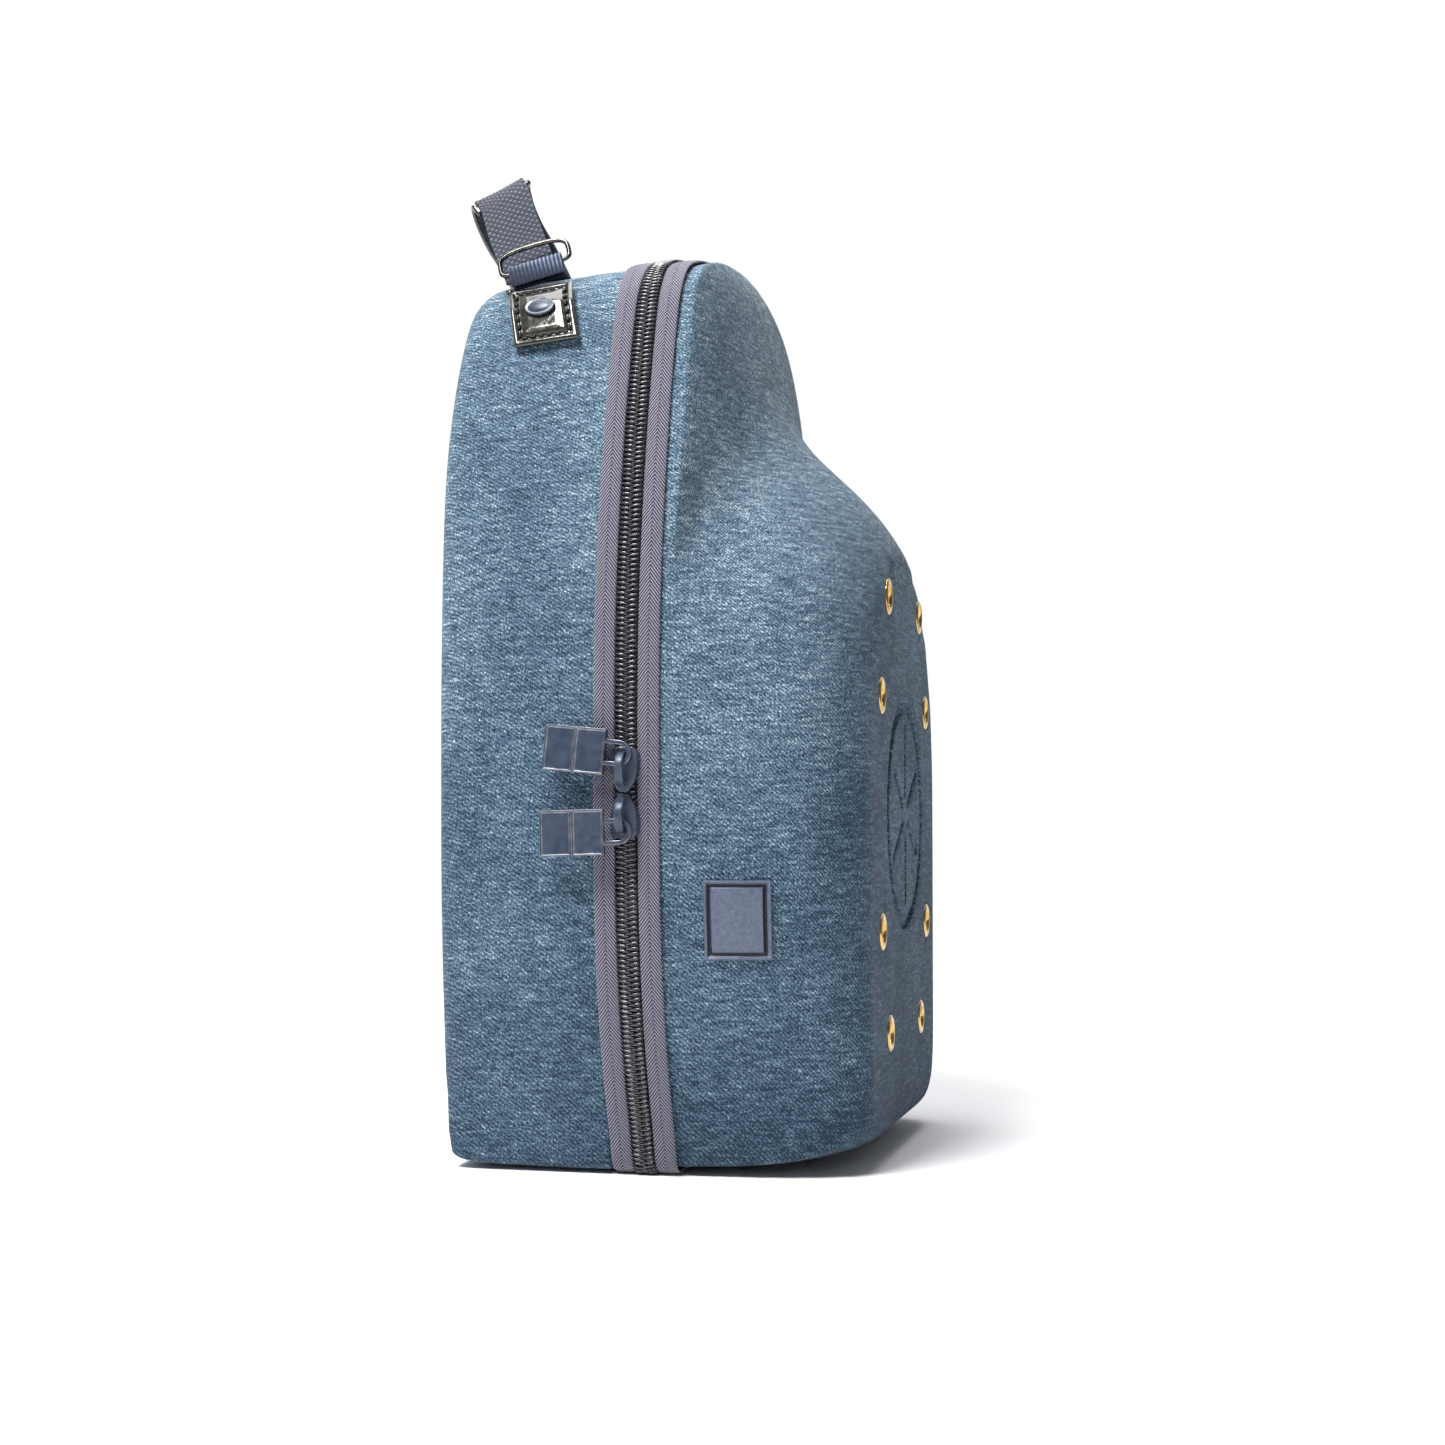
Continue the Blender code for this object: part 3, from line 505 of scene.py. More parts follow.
def rolled_edge(along, side):
    """The middle of the tape stands a little proud of its edges."""
    share = min(1.0, abs(side) / ROLL_REACH)
    return TAPE_ROLL * (1 - share ** 3) - TAPE_SUNK


TAPE = tape_finish()
for side in ("back", "front"):
    node = side + "_tape"
    tape_places, tape_width = places_along(node, away_from_case, TAPE_STEP)
    tape = lay_strip(
        side + "_zip_tape", tape_places, tape_width, TAPE_COLUMNS, rolled_edge, TAPE
    )
    walled(tape, TAPE_THICK)
    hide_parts(node)

# %% [markdown]
# ## Zip coil
# A coil zip has no separate teeth: each side is one nylon filament wound flat, and the heads
# of its turns hook between those of the other side. Two bevelled curves follow the same
# winding, half a turn apart, above a dark strip that closes the gap under them.

# %% Nylon finish and the line of the zip
ZIP_STEP = 0.002
COIL_RISE = 0.0010


def coil_finish():
    """Near-black nylon, rubbed a little paler in places."""
    finish, tree, shader = new_finish("zip_coil", 0.24)
    wear_and_painted_light = grains(tree, object_place(tree), 700, 2)
    colour = colours(tree, wear_and_painted_light, ((0.35, (0.006, 0.006, 0.011)), (0.70, (0.040, 0.040, 0.050))))
    tree.links.new(colour, shader.inputs["Base Color"])
    tree.links.new(maths(tree, "MULTIPLY", wear_and_painted_light, 0.4), shader.inputs["Roughness"])
    shader.inputs["Coat Weight"].default_value = 1.0
    shader.inputs["Coat Roughness"].default_value = 0.12
    return finish


def zip_line():
    """Way travelled, middle at the outer surface and way out, all along the zip."""
    back, _ = places_along("back_tape", away_from_case, ZIP_STEP)
    front, _ = places_along("front_tape", away_from_case, ZIP_STEP)
    line, travel = [], 0.0
    for (p, _, out), (q, _, _) in zip(back, front):
        middle = (p + q) / 2 + out * COIL_RISE
        if line:
            travel += (middle - line[-1][1]).length
        line.append((travel, middle, out))
    return line


def spot_on(line, travel):
    """Middle and way out where this much of the zip has been travelled."""
    share = travel / line[-1][0] * (len(line) - 1)
    while share > 0 and line[int(share)][0] > travel:
        share -= 1
    i = min(int(share), len(line) - 2)
    while i < len(line) - 2 and line[i + 1][0] < travel:
        i += 1
    t = (travel - line[i][0]) / (line[i + 1][0] - line[i][0])
    return line[i][1].lerp(line[i + 1][1], t), line[i][2].lerp(line[i + 1][2], t)


COIL = coil_finish()
line = zip_line()
print("zip is", round(line[-1][0] * 1000), "mm long")

# %% Wound filament of the coil
TURN_PITCH = 0.00182
FILAMENT = 0.00044
# one turn: metres across from the middle of the zip, and down from its outer surface
WINDING = (
    (0.0034, 0.00155), (0.0036, 0.00095), (0.0028, 0.00050), (0.0012, 0.00046),
    (-0.0002, 0.00062), (-0.0006, 0.00110), (0.0004, 0.00160), (0.0024, 0.00172),
)


def round_wire(name):
    """A curve with the filament's thickness."""
    curve = bpy.data.curves.new(name, "CURVE")
    curve.dimensions = "3D"
    curve.bevel_depth = FILAMENT
    curve.bevel_resolution = 1
    curve.use_fill_caps = True
    return curve


def mesh_of(name, curve):
    """The skin of a curve as a bmesh."""
    holder = bpy.data.objects.new(name, curve)
    bpy.context.collection.objects.link(holder)
    data = bpy.data.meshes.new_from_object(holder.evaluated_get(bpy.context.evaluated_depsgraph_get()))
    bpy.data.objects.remove(holder)
    mesh = bmesh.new()
    mesh.from_mesh(data)
    return mesh


def wound_filament(name, line, side, start):
    """One side of the coil; start shifts it by a share of a turn."""
    curve = round_wire(name)
    turns = int((line[-1][0] - TURN_PITCH) / TURN_PITCH)
    run = curve.splines.new("POLY")
    run.points.add(turns * len(WINDING) - 1)
    for i in range(turns * len(WINDING)):
        across, down = WINDING[i % len(WINDING)]
        spot, out = spot_on(line, (i / len(WINDING) + start) * TURN_PITCH)
        spot = spot + Vector((0, side * across, 0)) - out * down
        run.points[i].co = (*spot, 1)
    print(name, "has", turns, "turns")
    return finished(name, mesh_of(name, curve), COIL)


wound_filament("back_coil", line, 1, 0.0)
front_coil = wound_filament("front_coil", line, -1, 0.5)
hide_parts("zip_coil")

# %% Dark bed under the coil
BED_DEPTH = 0.00195
BED_WIDTH = 0.0078
BED_COLUMNS = 2
BED_THICK = 0.0003
bed = []
for _, middle, out in line:
    across = out.cross(Vector((0, 1, 0))).cross(out)
    bed.append((middle - out * BED_DEPTH, across, out))
walled(lay_strip("coil_bed", bed, BED_WIDTH, BED_COLUMNS, level, COIL), BED_THICK)

# %% [markdown]
# ## Metal and enamel
# The pulls and sliders are cast metal under navy enamel that has thinned on the edges. The
# eyelets are bright brass, the rings dark polished wire. Fine uneven roughness keeps them
# from looking like plastic.

# %% Enamel, brass and dark wire


def metal_finish(name, dark, light, roughness, metallic):
    """Metal or enamel with faint smears in its colour and gloss."""
    finish, tree, shader = new_finish(name, roughness, metallic)
    place = object_place(tree)
    smear = grains(tree, place, 350, 4)
    tree.links.new(colours(tree, smear, ((0.35, dark), (0.75, light))), shader.inputs["Base Color"])
    rough = maths(tree, "ADD", maths(tree, "MULTIPLY", smear, 0.25), roughness - 0.12)
    tree.links.new(rough, shader.inputs["Roughness"])
    raised(tree, shader, grains(tree, place, 1500, 2), 0.00004, 0.4)
    return finish


ENAMEL = metal_finish("zip_metal", (0.026, 0.038, 0.068), (0.046, 0.064, 0.102), 0.36, 0.1)
BARE_EDGE = metal_finish("bare_edge", (0.12, 0.13, 0.16), (0.27, 0.28, 0.31), 0.34, 0.8)
BRASS = metal_finish("eyelet_brass", (0.50, 0.31, 0.08), (0.80, 0.56, 0.22), 0.22, 1.0)
WIRE = metal_finish("ring_metal", (0.05, 0.05, 0.05), (0.16, 0.15, 0.13), 0.24, 1.0)
print("metals:", ", ".join(metal.name for metal in (ENAMEL, BARE_EDGE, BRASS, WIRE)))

# %% [markdown]
# ## Sliders and pulls
# Each slider is a shield-shaped plate with a hook for a bridge. The pull is a slab with a sunk
# face and a wire loop round the hook's leg, and it rides on its own hinge. A bevel on the
# copy of each solid gives the rounded, bright edges of a casting.

# %% Bevelled castings
SLIDER_BEVEL = 0.00035
PULL_BEVEL = 0.00025
CAST_EDGE = radians(30)


def softened(node, name, wide, body=CASE):
    """A casting in enamel whose edges are rounded and rubbed bare."""
    mesh = quads_of(node)
    bmesh.ops.dissolve_limit(
        mesh, angle_limit=radians(2), use_dissolve_boundaries=False, verts=mesh.verts, edges=mesh.edges
    )
    sharp = [e for e in mesh.edges if is_sharp(e, CAST_EDGE)]
    bmesh.ops.bevel(
        mesh, geom=sharp, offset=wide, segments=2, profile=0.5, affect="EDGES",
        clamp_overlap=True, material=1
    )
    piece = finished(name, mesh, ENAMEL, body)
    piece.data.materials.append(BARE_EDGE)
    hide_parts(node)
    print(name, "has", len(piece.data.polygons), "faces")


for place in ("upper", "lower"):
    softened(place + "_slider", place + "_slider_cast", SLIDER_BEVEL)
    softened(place + "_pull", place + "_pull_cast", PULL_BEVEL, place + "_pull_body")

# %% [markdown]
# ## Eyelets
# A brass eyelet is one pressed ring: a rolled collar outside and a barrel through the wall.
# Spinning its half section round its own axis gives it, as a press tool would.

# %% Spun eyelets
FACE_PLANE = -0.080
ROUND_STEPS = 40
SEAM_POINT = 1e-6
# half section of the collar and the barrel: metres from the axis, and into the wall
COLLAR = (
    (0.0039, 0.0046), (0.0039, 0.0002), (0.0043, -0.0005), (0.0051, -0.0008),
    (0.0061, -0.0007), (0.0068, -0.0003), (0.0070, 0.0000), (0.0064, 0.0003), (0.0050, 0.0003),
    (0.0048, 0.0046),
)


def spun(mesh, line, edges, centre, axis):
    """Spins a half section a full turn and closes its seam."""
    bmesh.ops.spin(
        mesh, geom=line + edges, cent=centre, axis=axis, dvec=(0, 0, 0), angle=2 * pi,
        steps=ROUND_STEPS, use_merge=True, use_duplicate=False
    )
    bmesh.ops.remove_doubles(mesh, verts=mesh.verts, dist=SEAM_POINT)
    bmesh.ops.recalc_face_normals(mesh, faces=mesh.faces)


def spun_eyelet(name, node):
    """A brass eyelet in the front face, round the middle of its solid."""
    low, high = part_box(node)
    centre = Vector(((low.x + high.x) / 2, FACE_PLANE, (low.z + high.z) / 2))
    mesh = bmesh.new()
    line = [mesh.verts.new(centre + Vector((radius, depth, 0))) for radius, depth in COLLAR]
    edges = [mesh.edges.new(pair) for pair in zip(line, line[1:] + line[:1])]
    spun(mesh, line, edges, centre, (0, 1, 0))
    piece = finished(name, mesh, BRASS)
    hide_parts(node)


for number in range(1, 9):
    spun_eyelet(f"brass_eyelet_{number}", f"eyelet_{number}")
print("eight eyelets spun")

# %% [markdown]
# ## Handle webbing and its lining
# The webbing is a coarse basket weave whose yarns are thick enough to show in the outline, so its
# cells are real relief on a fine grid. Its colour has a painted highlight at the crown of each cell
# and painted shade in the gaps. The glossy lining is coated leather, with a faint crackle in its
# gloss.

# %% Woven relief and its finish
CELL = 0.00146
YARN_RISE = 0.00040
CROSSING = 0.00008
WEAVE_SUNK = 0.0003


def woven(along, side):
    """Crowns of the yarns, in metres: every other cell shows the lengthways one."""
    u, v = along / CELL, side / CELL
    lengthways = (int(u // 1) + int(v // 1)) % 2 == 0
    bulge_u, bulge_v = sin(pi * (u % 1)), sin(pi * (v % 1))
    long, short = (bulge_u, bulge_v) if lengthways else (bulge_v, bulge_u)
    step = CROSSING if lengthways else -CROSSING
    return YARN_RISE * (0.35 + 0.65 * long) * short ** 0.6 + step - WEAVE_SUNK


def webbing_finish():
    """Yarns with a painted highlight at the crown of each cell and painted shade in the gaps between
    cells.
    """
    finish, tree, shader = new_finish("webbing", 0.75)
    along, across, _ = parts_of(tree, weave_place(tree))
    # Painted light and shade: the colour is lighter at each cell's crown and darker in the gaps.
    crown = 1.0
    for part in (along, across):
        turned = maths(tree, "SINE", maths(tree, "MULTIPLY", part, pi / CELL))
        crown = maths(tree, "MULTIPLY", turned, crown)
    thread = grains(tree, object_place(tree), 1300, 2)
    tone = maths(tree, "ADD", maths(tree, "MULTIPLY", crown, 0.42), 0.20)
    tone = maths(tree, "ADD", tone, maths(tree, "MULTIPLY", thread, 0.35))
    colour = colours(tree, tone, (
        (0.22, (0.004, 0.006, 0.015)),
        (0.56, (0.026, 0.036, 0.060)),
        (0.96, (0.210, 0.250, 0.310)),
    ))
    tree.links.new(colour, shader.inputs["Base Color"])
    shader.inputs["Sheen Weight"].default_value = 0.2
    raised(tree, shader, thread, 0.00012, 0.6)
    return finish


def lining_finish(name, low, high):
    """Glossy coated leather, wavy and faintly crackled."""
    finish, tree, shader = new_finish(name, 0.2)
    place = object_place(tree)
    crackle = grains(tree, place, 420, 4)
    tree.links.new(colours(tree, crackle, ((0.3, low), (0.8, high))), shader.inputs["Base Color"])
    tree.links.new(maths(tree, "MULTIPLY", crackle, 0.35), shader.inputs["Roughness"])
    shader.inputs["Coat Weight"].default_value = 0.8
    shader.inputs["Coat Roughness"].default_value = 0.08
    raised(tree, shader, grains(tree, place, 130, 3), 0.0006, 0.7)
    return finish


WEBBING = webbing_finish()
PATENT = lining_finish("grip_leather", (0.006, 0.006, 0.007), (0.022, 0.021, 0.022))
print("weave cells of", CELL * 1000, "mm")

# %% Strap and lining of the handle
STRAP_STEP, STRAP_COLUMNS = CELL / 4, 56
STRAP_THICK = 0.0013
LINING_STEP, LINING_COLUMNS = 0.001, 24
LINING_THICK = 0.0015
HANDLE_TOP = 0.03


def above_case(place):
    """The way out for the handle: up over its top, and up and outwards beside it."""
    return Vector((place.x, 0, 0.10)) if abs(place.x) > HANDLE_TOP else Vector((0, 0, 1))


strap_places, strap_width = places_along("handle_webbing", above_case, STRAP_STEP)
strap = lay_strip("woven_strap", strap_places, strap_width, STRAP_COLUMNS, woven, WEBBING)
walled(strap, STRAP_THICK)
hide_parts("handle_webbing")

grip_places, grip_width = places_along("handle_grip", above_case, LINING_STEP)
lining = lay_strip(
    "glossy_lining", grip_places, grip_width, LINING_COLUMNS, level, PATENT
)
walled(lining, LINING_THICK)
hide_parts("handle_grip")

# %% [markdown]
# ## Ribbed keepers
# Each keeper is a ribbed navy strap, folded once over its ring. Its ribs are real relief, drawn in
# between even rows. Its colour has painted light towards the fold and painted shade towards the foot.

# %% Ribbed relief and its finish
RIB = 0.00155
ROW = 0.0048
RIB_RISE = 0.00045
RIB_SUNK = 0.0003
TWIST = 0.0007
# Painted light and shade: the tone at the keeper's foot, and how much paler it is painted towards the
# fold.
SHADED_FOOT_TONE, PAINTED_LIGHT_PALER = 0.36, 1.6
PAINTED_LIGHT_FROM, PAINTED_LIGHT_REACH = 0.30, 0.4


def ribbed(along, side):
    """Round ribs side by side, drawn in between two rows, in metres."""
    crown = abs(sin(pi * side / RIB)) ** 0.7
    row = 0.35 + 0.65 * abs(sin(pi * along / ROW)) ** 0.5
    return RIB_RISE * crown * row - RIB_SUNK


def keeper_finish():
    """Twisted ribs with painted shade at the foot of the keeper and painted light towards its fold."""
    finish, tree, shader = new_finish("ribbed_strap", 0.7)
    along, across, _ = parts_of(tree, weave_place(tree))
    rib = maths(tree, "ABSOLUTE", maths(tree, "SINE", maths(tree, "MULTIPLY", across, pi / RIB)))
    twist = half_wave(tree, maths(tree, "DIVIDE", maths(tree, "ADD", along, across), TWIST))
    tone = maths(tree, "ADD", maths(tree, "MULTIPLY", rib, 0.7), maths(tree, "MULTIPLY", twist, 0.25))
    foot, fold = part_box("near_keeper")
    height = parts_of(tree, object_place(tree))[2]
    rise = maths(tree, "DIVIDE", maths(tree, "SUBTRACT", height, foot.z), fold.z - foot.z)
    # Painted light: above a share of the keeper's height, its colour is painted paler up to the fold;
    # below, it keeps the darker painted shade.
    wear_and_painted_light = maths(tree, "MAXIMUM", maths(tree, "SUBTRACT", rise, PAINTED_LIGHT_FROM), 0.0)
    wear_and_painted_light = maths(tree, "MULTIPLY", maths(tree, "MINIMUM", wear_and_painted_light, PAINTED_LIGHT_REACH), PAINTED_LIGHT_PALER)
    tone = maths(tree, "MULTIPLY", tone, maths(tree, "ADD", wear_and_painted_light, SHADED_FOOT_TONE))
    colour = colours(tree, tone, (
        (0.15, (0.004, 0.007, 0.024)),
        (0.55, (0.032, 0.048, 0.100)),
        (0.95, (0.260, 0.320, 0.430)),
    ))
    tree.links.new(colour, shader.inputs["Base Color"])
    raised(tree, shader, twist, 0.0001, 0.5)
    return finish


KEEPER = keeper_finish()
print("keeper ribs of", RIB * 1000, "mm")

# %% Keepers folded over the rings
KEEPER_STEP, KEEPER_COLUMNS = 0.0005, 66
KEEPER_THICK = 0.0010


def outside_keeper(place):
    """The way out for a keeper: away from the middle of the case, and up a little."""
    return Vector((place.x, 0, 0.03))


for side in ("near", "far"):
    node = side + "_keeper"
    places, width = places_along(node, outside_keeper, KEEPER_STEP)
    keeper = lay_strip(
        side + "_ribbed_keeper", places, width, KEEPER_COLUMNS, ribbed, KEEPER
    )
    walled(keeper, KEEPER_THICK)
    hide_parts(node)

# %% [markdown]
# ## Rings
# The ring is bent from round wire, so its solid's six-sided wire is simply rounded off.

# %% Rounded wire rings
for side in ("near", "far"):
    ring = finished(side + "_wire_ring", quads_of(side + "_ring"), WIRE)
    subdivided(ring, 2)
    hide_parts(side + "_ring")
    print(ring.name, "has", len(ring.data.polygons), "faces before subdividing")

# %% [markdown]
# ## Patent leather tabs
# Each tab is stitched down in a square, which draws the leather in along the seam and leaves
# its rim and middle puffed. A flat grid is dropped onto the solid's outer face, a profile from
# the edge inwards makes rim, groove and puff, and each stitch is a small bar in the groove.

# %% Corners, stitches and finishes for the tabs
TAB_LEAN = 0.45


def outer_corners(node):
    """The four outer corners of a leaning slab: low back, low front, high front, high back."""
    mesh = quads_of(node)
    found = [v.co.copy() for v in mesh.verts if len(v.link_edges) == 3]
    mesh.free()
    outward = Vector((1 if found[0].x > 0 else -1, 0, TAB_LEAN))
    found = sorted(found, key=lambda p: p.z)
    outer = []
    for four in (found[:4], found[4:]):
        four = sorted(four, key=lambda p: p.y)
        outer.append([max(pair, key=lambda p: p.dot(outward)) for pair in (four[:2], four[2:])])
    (low_front, low_back), (high_front, high_back) = outer
    return low_back, low_front, high_front, high_back


def stitch_bar(mesh, middle, along, out, long, radius):
    """Adds one short thread with rounded ends."""
    turn = Matrix((along, out.cross(along), out)).transposed().to_4x4()
    made = bmesh.ops.create_uvsphere(
        mesh, u_segments=8, v_segments=5, radius=radius,
        matrix=Matrix.Translation(middle) @ turn @ Matrix.Rotation(pi / 2, 4, "Y")
    )
    for vertex in made["verts"]:
        offset = vertex.co - middle
        reach = offset.dot(along)
        vertex.co += along * (long / 2 - radius) * (1 if reach > 0 else -1 if reach < 0 else 0)


def thread_finish(name, colour):
    """Sewing thread, darker between its plies."""
    finish, tree, shader = new_finish(name, 0.6)
    ply = grains(tree, object_place(tree), 1800, 2)
    low = tuple(part * 0.5 for part in colour)
    tree.links.new(colours(tree, ply, ((0.35, low), (0.7, colour))), shader.inputs["Base Color"])
    raised(tree, shader, ply, 0.00008, 0.6)
    return finish


LEATHER = lining_finish("tab_leather", (0.014, 0.013, 0.009), (0.040, 0.037, 0.025))
THREAD_AND_GROOVE_SHADE = thread_finish("thread_and_groove_shade", (0.007, 0.009, 0.020))
print("leather and thread:", LEATHER.name, THREAD_AND_GROOVE_SHADE.name)

# %% Profile and outer face of a tab
DROP = 0.010
SEAM_INSET = 0.0032
SEAM_HALF = 0.0012
RIM_DROP, GROOVE_DROP, PUFF_RISE = 0.0008, 0.0010, 0.0006
PUFF_REACH = 0.0040


def tab_height(from_edge):
    """Rounded rim, sewn groove and puffed middle, in metres."""
    rim = RIM_DROP * max(0.0, 1 - from_edge / SEAM_HALF) ** 2
    groove = GROOVE_DROP * max(0.0, 1 - ((from_edge - SEAM_INSET) / SEAM_HALF) ** 2)
    puff = PUFF_RISE * min(1.0, max(0.0, from_edge - SEAM_INSET) / PUFF_REACH)
    return puff - rim - groove


def tab_face(side):
    """A tab's outer face: a finder of places on it, its two edges and its way out."""
    corners = outer_corners(side + "_tab")
    wide, tall = corners[1] - corners[0], corners[3] - corners[0]
    outward = wide.cross(tall).normalized()
    if outward.x * corners[0].x < 0:
        outward = -outward
    solid = quads_of(side + "_tab")
    leather = BVHTree.FromBMesh(solid)
    solid.free()

    def on_tab(u, v):
        spot = corners[0].lerp(corners[1], u).lerp(corners[3].lerp(corners[2], u), v)
        place, normal, _, _ = leather.ray_cast(spot + outward * DROP, -outward, 2 * DROP)
        return (place, normal) if place else (spot, outward)

    return on_tab, wide, tall, outward


print("tab's seam is", SEAM_INSET * 1000, "mm from its edge")

# %% Puffed tabs with their stitches
TAB_GRID = 56
TAB_THICK = 0.0016
STITCHES = 6
STITCH_LONG, STITCH_RADIUS = 0.0023, 0.0005
STITCH_SUNK = 0.0004


def puffed_tab(side, on_tab, wide, tall, outward):
    """The tab's leather, dropped onto the solid and shaped from its edge inwards."""
    mesh = bmesh.new()
    bmesh.ops.create_grid(mesh, x_segments=TAB_GRID, y_segments=TAB_GRID, size=0.5)
    for vertex in mesh.verts:
        u, v = vertex.co.x + 0.5, vertex.co.y + 0.5
        place, normal = on_tab(u, v)
        edge = min(min(u, 1 - u) * wide.length, min(v, 1 - v) * tall.length)
        vertex.co = place + normal * tab_height(edge)
    mesh.normal_update()
    if sum((face.normal for face in mesh.faces), Vector()).dot(outward) < 0:
        bmesh.ops.reverse_faces(mesh, faces=mesh.faces)
    tab = finished(side + "_puffed_tab", mesh, LEATHER)
    walled(tab, TAB_THICK)
    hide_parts(side + "_tab")


def tab_stitches(side, on_tab, wide, tall):
    """A square of stitches that lie in the tab's groove."""
    threads = bmesh.new()
    left, foot = SEAM_INSET / wide.length, SEAM_INSET / tall.length
    square = ((left, foot), (1 - left, foot), (1 - left, 1 - foot), (left, 1 - foot))
    for (u0, v0), (u1, v1) in zip(square, square[1:] + square[:1]):
        for k in range(STITCHES):
            t = (k + 0.5) / STITCHES
            place, normal = on_tab(u0 + (u1 - u0) * t, v0 + (v1 - v0) * t)
            ahead = wide * (u1 - u0) + tall * (v1 - v0)
            ahead = (ahead - normal * ahead.dot(normal)).normalized()
            sunk = place - normal * STITCH_SUNK
            stitch_bar(threads, sunk, ahead, normal, STITCH_LONG, STITCH_RADIUS)
    finished(side + "_tab_stitches", threads, THREAD_AND_GROOVE_SHADE)


for side in ("near", "far"):
    on_tab, wide, tall, outward = tab_face(side)
    puffed_tab(side, on_tab, wide, tall, outward)
    tab_stitches(side, on_tab, wide, tall)
    print(side, "tab is", round(wide.length * 1000), "by", round(tall.length * 1000), "mm")

# %% [markdown]
# ## Rivets
# A snap rivet is a shallow dome with a thin turned lip. Its axis is found from the solid: the
# way that its widest face looks. On the real case the dome is a flat oval.

# %% Domed rivets
# half section of the dome and its lip: metres from the axis, and up from the solid's middle
DOME = (
    (0.0, 0.0013), (0.0026, 0.00118), (0.0044, 0.00075), (0.0049, 0.00045), (0.0052, 0.00075),
    (0.0057, 0.0008), (0.0060, 0.0004), (0.0060, -0.0006), (0.0, -0.0006),
)
LIP_INSIDE, LIP_OUTSIDE = 0.0049, 0.0059
RIVET_OVAL = 0.64


def rivet_axis(node):
    """The middle of a rivet's solid and the way that its widest face looks, outwards."""
    data = frame["nodes"][node].data
    points = [v.co for v in data.vertices]
    centre = sum(points, Vector()) / len(points)
    flat = max(data.polygons, key=lambda face: face.area)
    axis = flat.normal.copy()
    return centre, axis if axis.x * centre.x > 0 else -axis


def domed_rivet(side):
    """A rivet in enamel with a bare lip, pressed to an oval."""
    centre, axis = rivet_axis(side + "_rivet")
    turn = axis.to_track_quat("Z", "Y").to_matrix().to_4x4() @ Matrix.Diagonal((1, RIVET_OVAL, 1, 1))
    mesh = bmesh.new()
    line = [mesh.verts.new((radius, 0, height)) for radius, height in DOME]
    edges = [mesh.edges.new(pair) for pair in zip(line, line[1:])]
    spun(mesh, line, edges, (0, 0, 0), (0, 0, 1))
    for face in mesh.faces:
        if LIP_INSIDE < face.calc_center_median().xy.length < LIP_OUTSIDE and face.normal.z > 0:
            face.material_index = 1
    bmesh.ops.transform(mesh, matrix=Matrix.Translation(centre) @ turn, verts=mesh.verts)
    rivet = finished(side + "_domed_rivet", mesh, ENAMEL)
    rivet.data.materials.append(BARE_EDGE)
    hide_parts(side + "_rivet")


for side in ("near", "far"):
    domed_rivet(side)
print("two rivets spun, their height", RIVET_OVAL, "of their width")

# %% [markdown]
# ## Rubber patch
# The patch is moulded rubber with a rolled rim, a sewn groove and a plain raised plate. A flat
# grid is pushed against the case wall along the width, so it takes the wall's curve, and a
# profile of its height from the rim inwards makes the relief.

# %% Patch finish and the wall that it is pressed on


def patch_finish():
    """Slate rubber with a fine grain in its colour and gloss."""
    finish, tree, shader = new_finish("rubber_patch", 0.42)
    grain = grains(tree, object_place(tree), 900, 3)
    tone = colours(tree, grain, ((0.3, (0.056, 0.072, 0.122)), (0.75, (0.112, 0.132, 0.196))))
    tree.links.new(tone, shader.inputs["Base Color"])
    rough = maths(tree, "ADD", maths(tree, "MULTIPLY", grain, 0.2), 0.3)
    tree.links.new(rough, shader.inputs["Roughness"])
    raised(tree, shader, grain, 0.00006, 0.5)
    return finish


front_wall = frame["nodes"]["front_shell"].data
wall = BVHTree.FromPolygons(
    [v.co for v in front_wall.vertices], [p.vertices for p in front_wall.polygons]
)
patch_low, patch_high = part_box("side_patch")
patch_wide, patch_tall = patch_high.y - patch_low.y, patch_high.z - patch_low.z
middle_y, middle_z = (patch_low.y + patch_high.y) / 2, (patch_low.z + patch_high.z) / 2


def on_wall(y, z):
    """The wall's place and way out, found from outside along the width."""
    place, normal, _, _ = wall.ray_cast(Vector((-0.2, y, z)), Vector((1, 0, 0)))
    return place, normal if normal.x < 0 else -normal


print("patch is", round(patch_wide * 1000, 1), "by", round(patch_tall * 1000, 1), "mm")

# %% Patch pressed onto the wall
PATCH_GRID = (64, 80)
RIM = 0.00125
GROOVE = 0.00235
RIM_FOOT, RIM_ROLL = 0.0008, 0.0008
GROOVE_FLOOR, PLATE_RISE = 0.0004, 0.0008
SLOPE = 0.0004
PATCH_THICK = 0.0006


def patch_height(from_edge):
    """Rolled rim, sewn groove and raised plate, in metres above the wall."""
    if from_edge < RIM:
        return RIM_FOOT + RIM_ROLL * sin(pi * min(1.0, (from_edge + SLOPE) / (RIM + SLOPE)))
    if from_edge < GROOVE:
        return GROOVE_FLOOR
    return GROOVE_FLOOR + PLATE_RISE * min(1.0, (from_edge - GROOVE) / SLOPE)


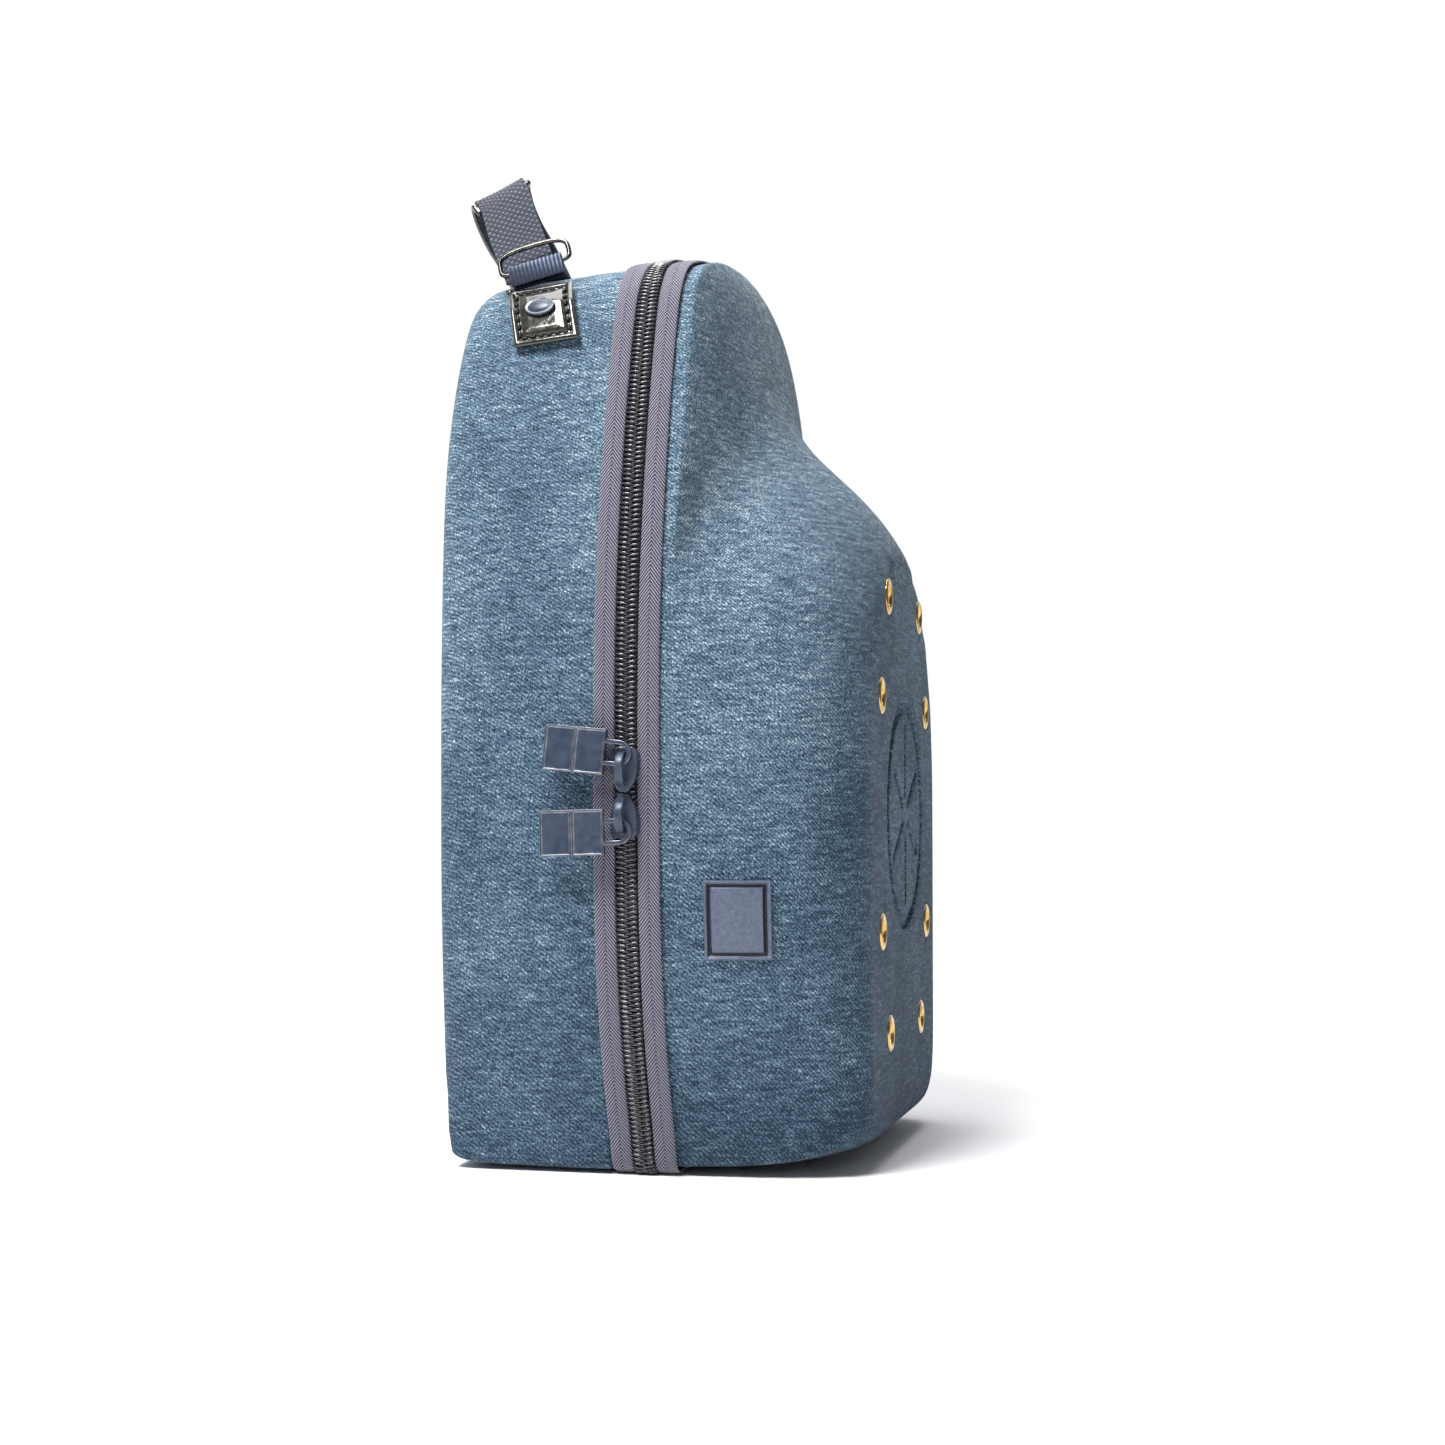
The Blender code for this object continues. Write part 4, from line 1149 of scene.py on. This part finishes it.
def pressed_patch():
    """The patch as one grid on the wall, with painted shade in the groove inside its rim."""
    mesh = bmesh.new()
    bmesh.ops.create_grid(mesh, x_segments=PATCH_GRID[0], y_segments=PATCH_GRID[1], size=0.5)
    for vertex in mesh.verts:
        across, up = vertex.co.x, vertex.co.y
        edge = min((0.5 - abs(across)) * patch_wide, (0.5 - abs(up)) * patch_tall)
        place, normal = on_wall(middle_y - across * patch_wide, middle_z + up * patch_tall)
        vertex.co = place + normal * patch_height(edge)
    for face in mesh.faces:
        spot = face.calc_center_median()
        inwards = min(patch_wide / 2 - abs(spot.y - middle_y), patch_tall / 2 - abs(spot.z - middle_z))
        # Painted shade: the faces of the groove take the dark thread finish, as shade in the recess.
        face.material_index = 1 if RIM < inwards < GROOVE else 0
    patch = finished("moulded_patch", mesh, patch_finish())
    patch.data.materials.append(THREAD_AND_GROOVE_SHADE)
    walled(patch, PATCH_THICK)
    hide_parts("side_patch")


pressed_patch()
print("patch has a rim of", RIM * 1000, "mm")

# %% Stitches in the patch's groove
SIDE_STITCHES = 8
SIDE_STITCH_LONG, SIDE_STITCH_RADIUS = 0.0022, 0.00035
SIDE_STITCH_RISE = 0.0006


def patch_stitches():
    """An upright row of stitches on each side of the patch, in its groove."""
    threads = bmesh.new()
    inset = (RIM + GROOVE) / 2
    for side in (-1, 1):
        y = middle_y + side * (patch_wide / 2 - inset)
        for k in range(SIDE_STITCHES):
            z = patch_low.z + GROOVE + (k + 0.5) * (patch_tall - 2 * GROOVE) / SIDE_STITCHES
            place, normal = on_wall(y, z)
            up = Vector((0, 0, 1)) - normal * normal.z
            spot = place + normal * SIDE_STITCH_RISE
            stitch_bar(threads, spot, up.normalized(), normal, SIDE_STITCH_LONG, SIDE_STITCH_RADIUS)
    finished("patch_stitches", threads, THREAD_AND_GROOVE_SHADE)


patch_stitches()
print("patch has", 2 * SIDE_STITCHES, "stitches")

# %% [markdown]
# ## Hinge on the hidden side
# The panel that the halves turn on is the same denim, so its solid keeps its shape as a
# smoother strip and takes the cloth's finish.

# %% Hinge panel
HINGE_STEP, HINGE_COLUMNS = 0.004, 6
HINGE_THICK = 0.0011
hinge_places, hinge_width = places_along("hinge_panel", away_from_case, HINGE_STEP)
hinge = lay_strip("hinge_cloth", hinge_places, hinge_width, HINGE_COLUMNS, level, DENIM)
walled(hinge, HINGE_THICK)
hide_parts("hinge_panel")

# %% [markdown]
# ## Floor, light and camera
# A pale floor and large soft lights stand in for the white studio. The world is white behind
# the case and grey elsewhere, so the case's glossy parts have something dark to mirror. The
# camera stands where the photograph was taken from: low, on the side with the sliders,
# tilted slightly up.

# %% Floor
FLOOR_HALF = 0.8
floor_mesh = bmesh.new()
bmesh.ops.create_grid(floor_mesh, x_segments=1, y_segments=1, size=FLOOR_HALF)
floor_data = bpy.data.meshes.new("floor")
floor_mesh.to_mesh(floor_data)
floor_mesh.free()
floor = bpy.data.objects.new("floor", floor_data)
bpy.context.collection.objects.link(floor)
floor_finish, _, floor_shader = new_finish("floor_paint", 0.9)
floor_shader.inputs["Base Color"].default_value = (0.93, 0.93, 0.94, 1)
floor_data.materials.append(floor_finish)
print("floor is", 2 * FLOOR_HALF, "m wide")

# %% Soft lights and a bright world


def soft_light(name, place, aim, size, power):
    """A square lamp of a size in metres and a power in watts, turned to what it lights."""
    lamp = bpy.data.lights.new(name, "AREA")
    lamp.size = size
    lamp.energy = power
    holder = bpy.data.objects.new(name, lamp)
    holder.location = place
    holder.rotation_euler = (Vector(aim) - Vector(place)).to_track_quat("-Z", "Y").to_euler()
    bpy.context.collection.objects.link(holder)


SKY_EAST, SKY_NORTH = 0.425, 0.25
world = bpy.data.worlds.new("studio")
world.use_nodes = True
sky = world.node_tree
view = sky.nodes.new("ShaderNodeTexCoord").outputs["Generated"]
east, north, _ = parts_of(sky, view)
lean = maths(sky, "ADD", maths(sky, "MULTIPLY", east, SKY_EAST), 0.5)
lean = maths(sky, "ADD", lean, maths(sky, "MULTIPLY", north, SKY_NORTH))
shade = colours(sky, lean, (
    (0.1, (0.13, 0.13, 0.14)),
    (0.60, (0.19, 0.19, 0.20)),
    (0.86, (1, 1, 1)),
))
sky.links.new(shade, sky.nodes["Background"].inputs["Color"])
bpy.context.scene.world = world
soft_light("key", (-0.85, 0.30, 1.40), (0, 0, 0.25), 0.6, 36)
soft_light("low_fill", (-1.5, -0.3, 0.3), (0, 0, 0.15), 0.8, 2)
soft_light("top", (0.3, 0.1, 1.6), (0, 0, 0.2), 1.2, 18)
print("lights:", ", ".join(light.name for light in bpy.data.lights))

# %% Camera
AZIMUTH, PITCH = radians(13.5702), radians(3.1723)
CAMERA_AT = (-0.82913, -0.20614, 0.11961)
FOCAL_PIXELS = 2120
PHOTO_PIXELS = 1445
SENSOR = 36
camera_data = bpy.data.cameras.new("camera")
camera_data.sensor_width = SENSOR
camera_data.lens = FOCAL_PIXELS / PHOTO_PIXELS * SENSOR
camera = bpy.data.objects.new("camera", camera_data)
camera.location = CAMERA_AT
ahead = Vector((cos(AZIMUTH) * cos(PITCH), sin(AZIMUTH) * cos(PITCH), sin(PITCH)))
camera.rotation_euler = ahead.to_track_quat("-Z", "Y").to_euler()
bpy.context.collection.objects.link(camera)
bpy.context.scene.camera = camera
bpy.context.scene.view_settings.view_transform = "Standard"
print("lens of", round(camera_data.lens, 1), "mm")
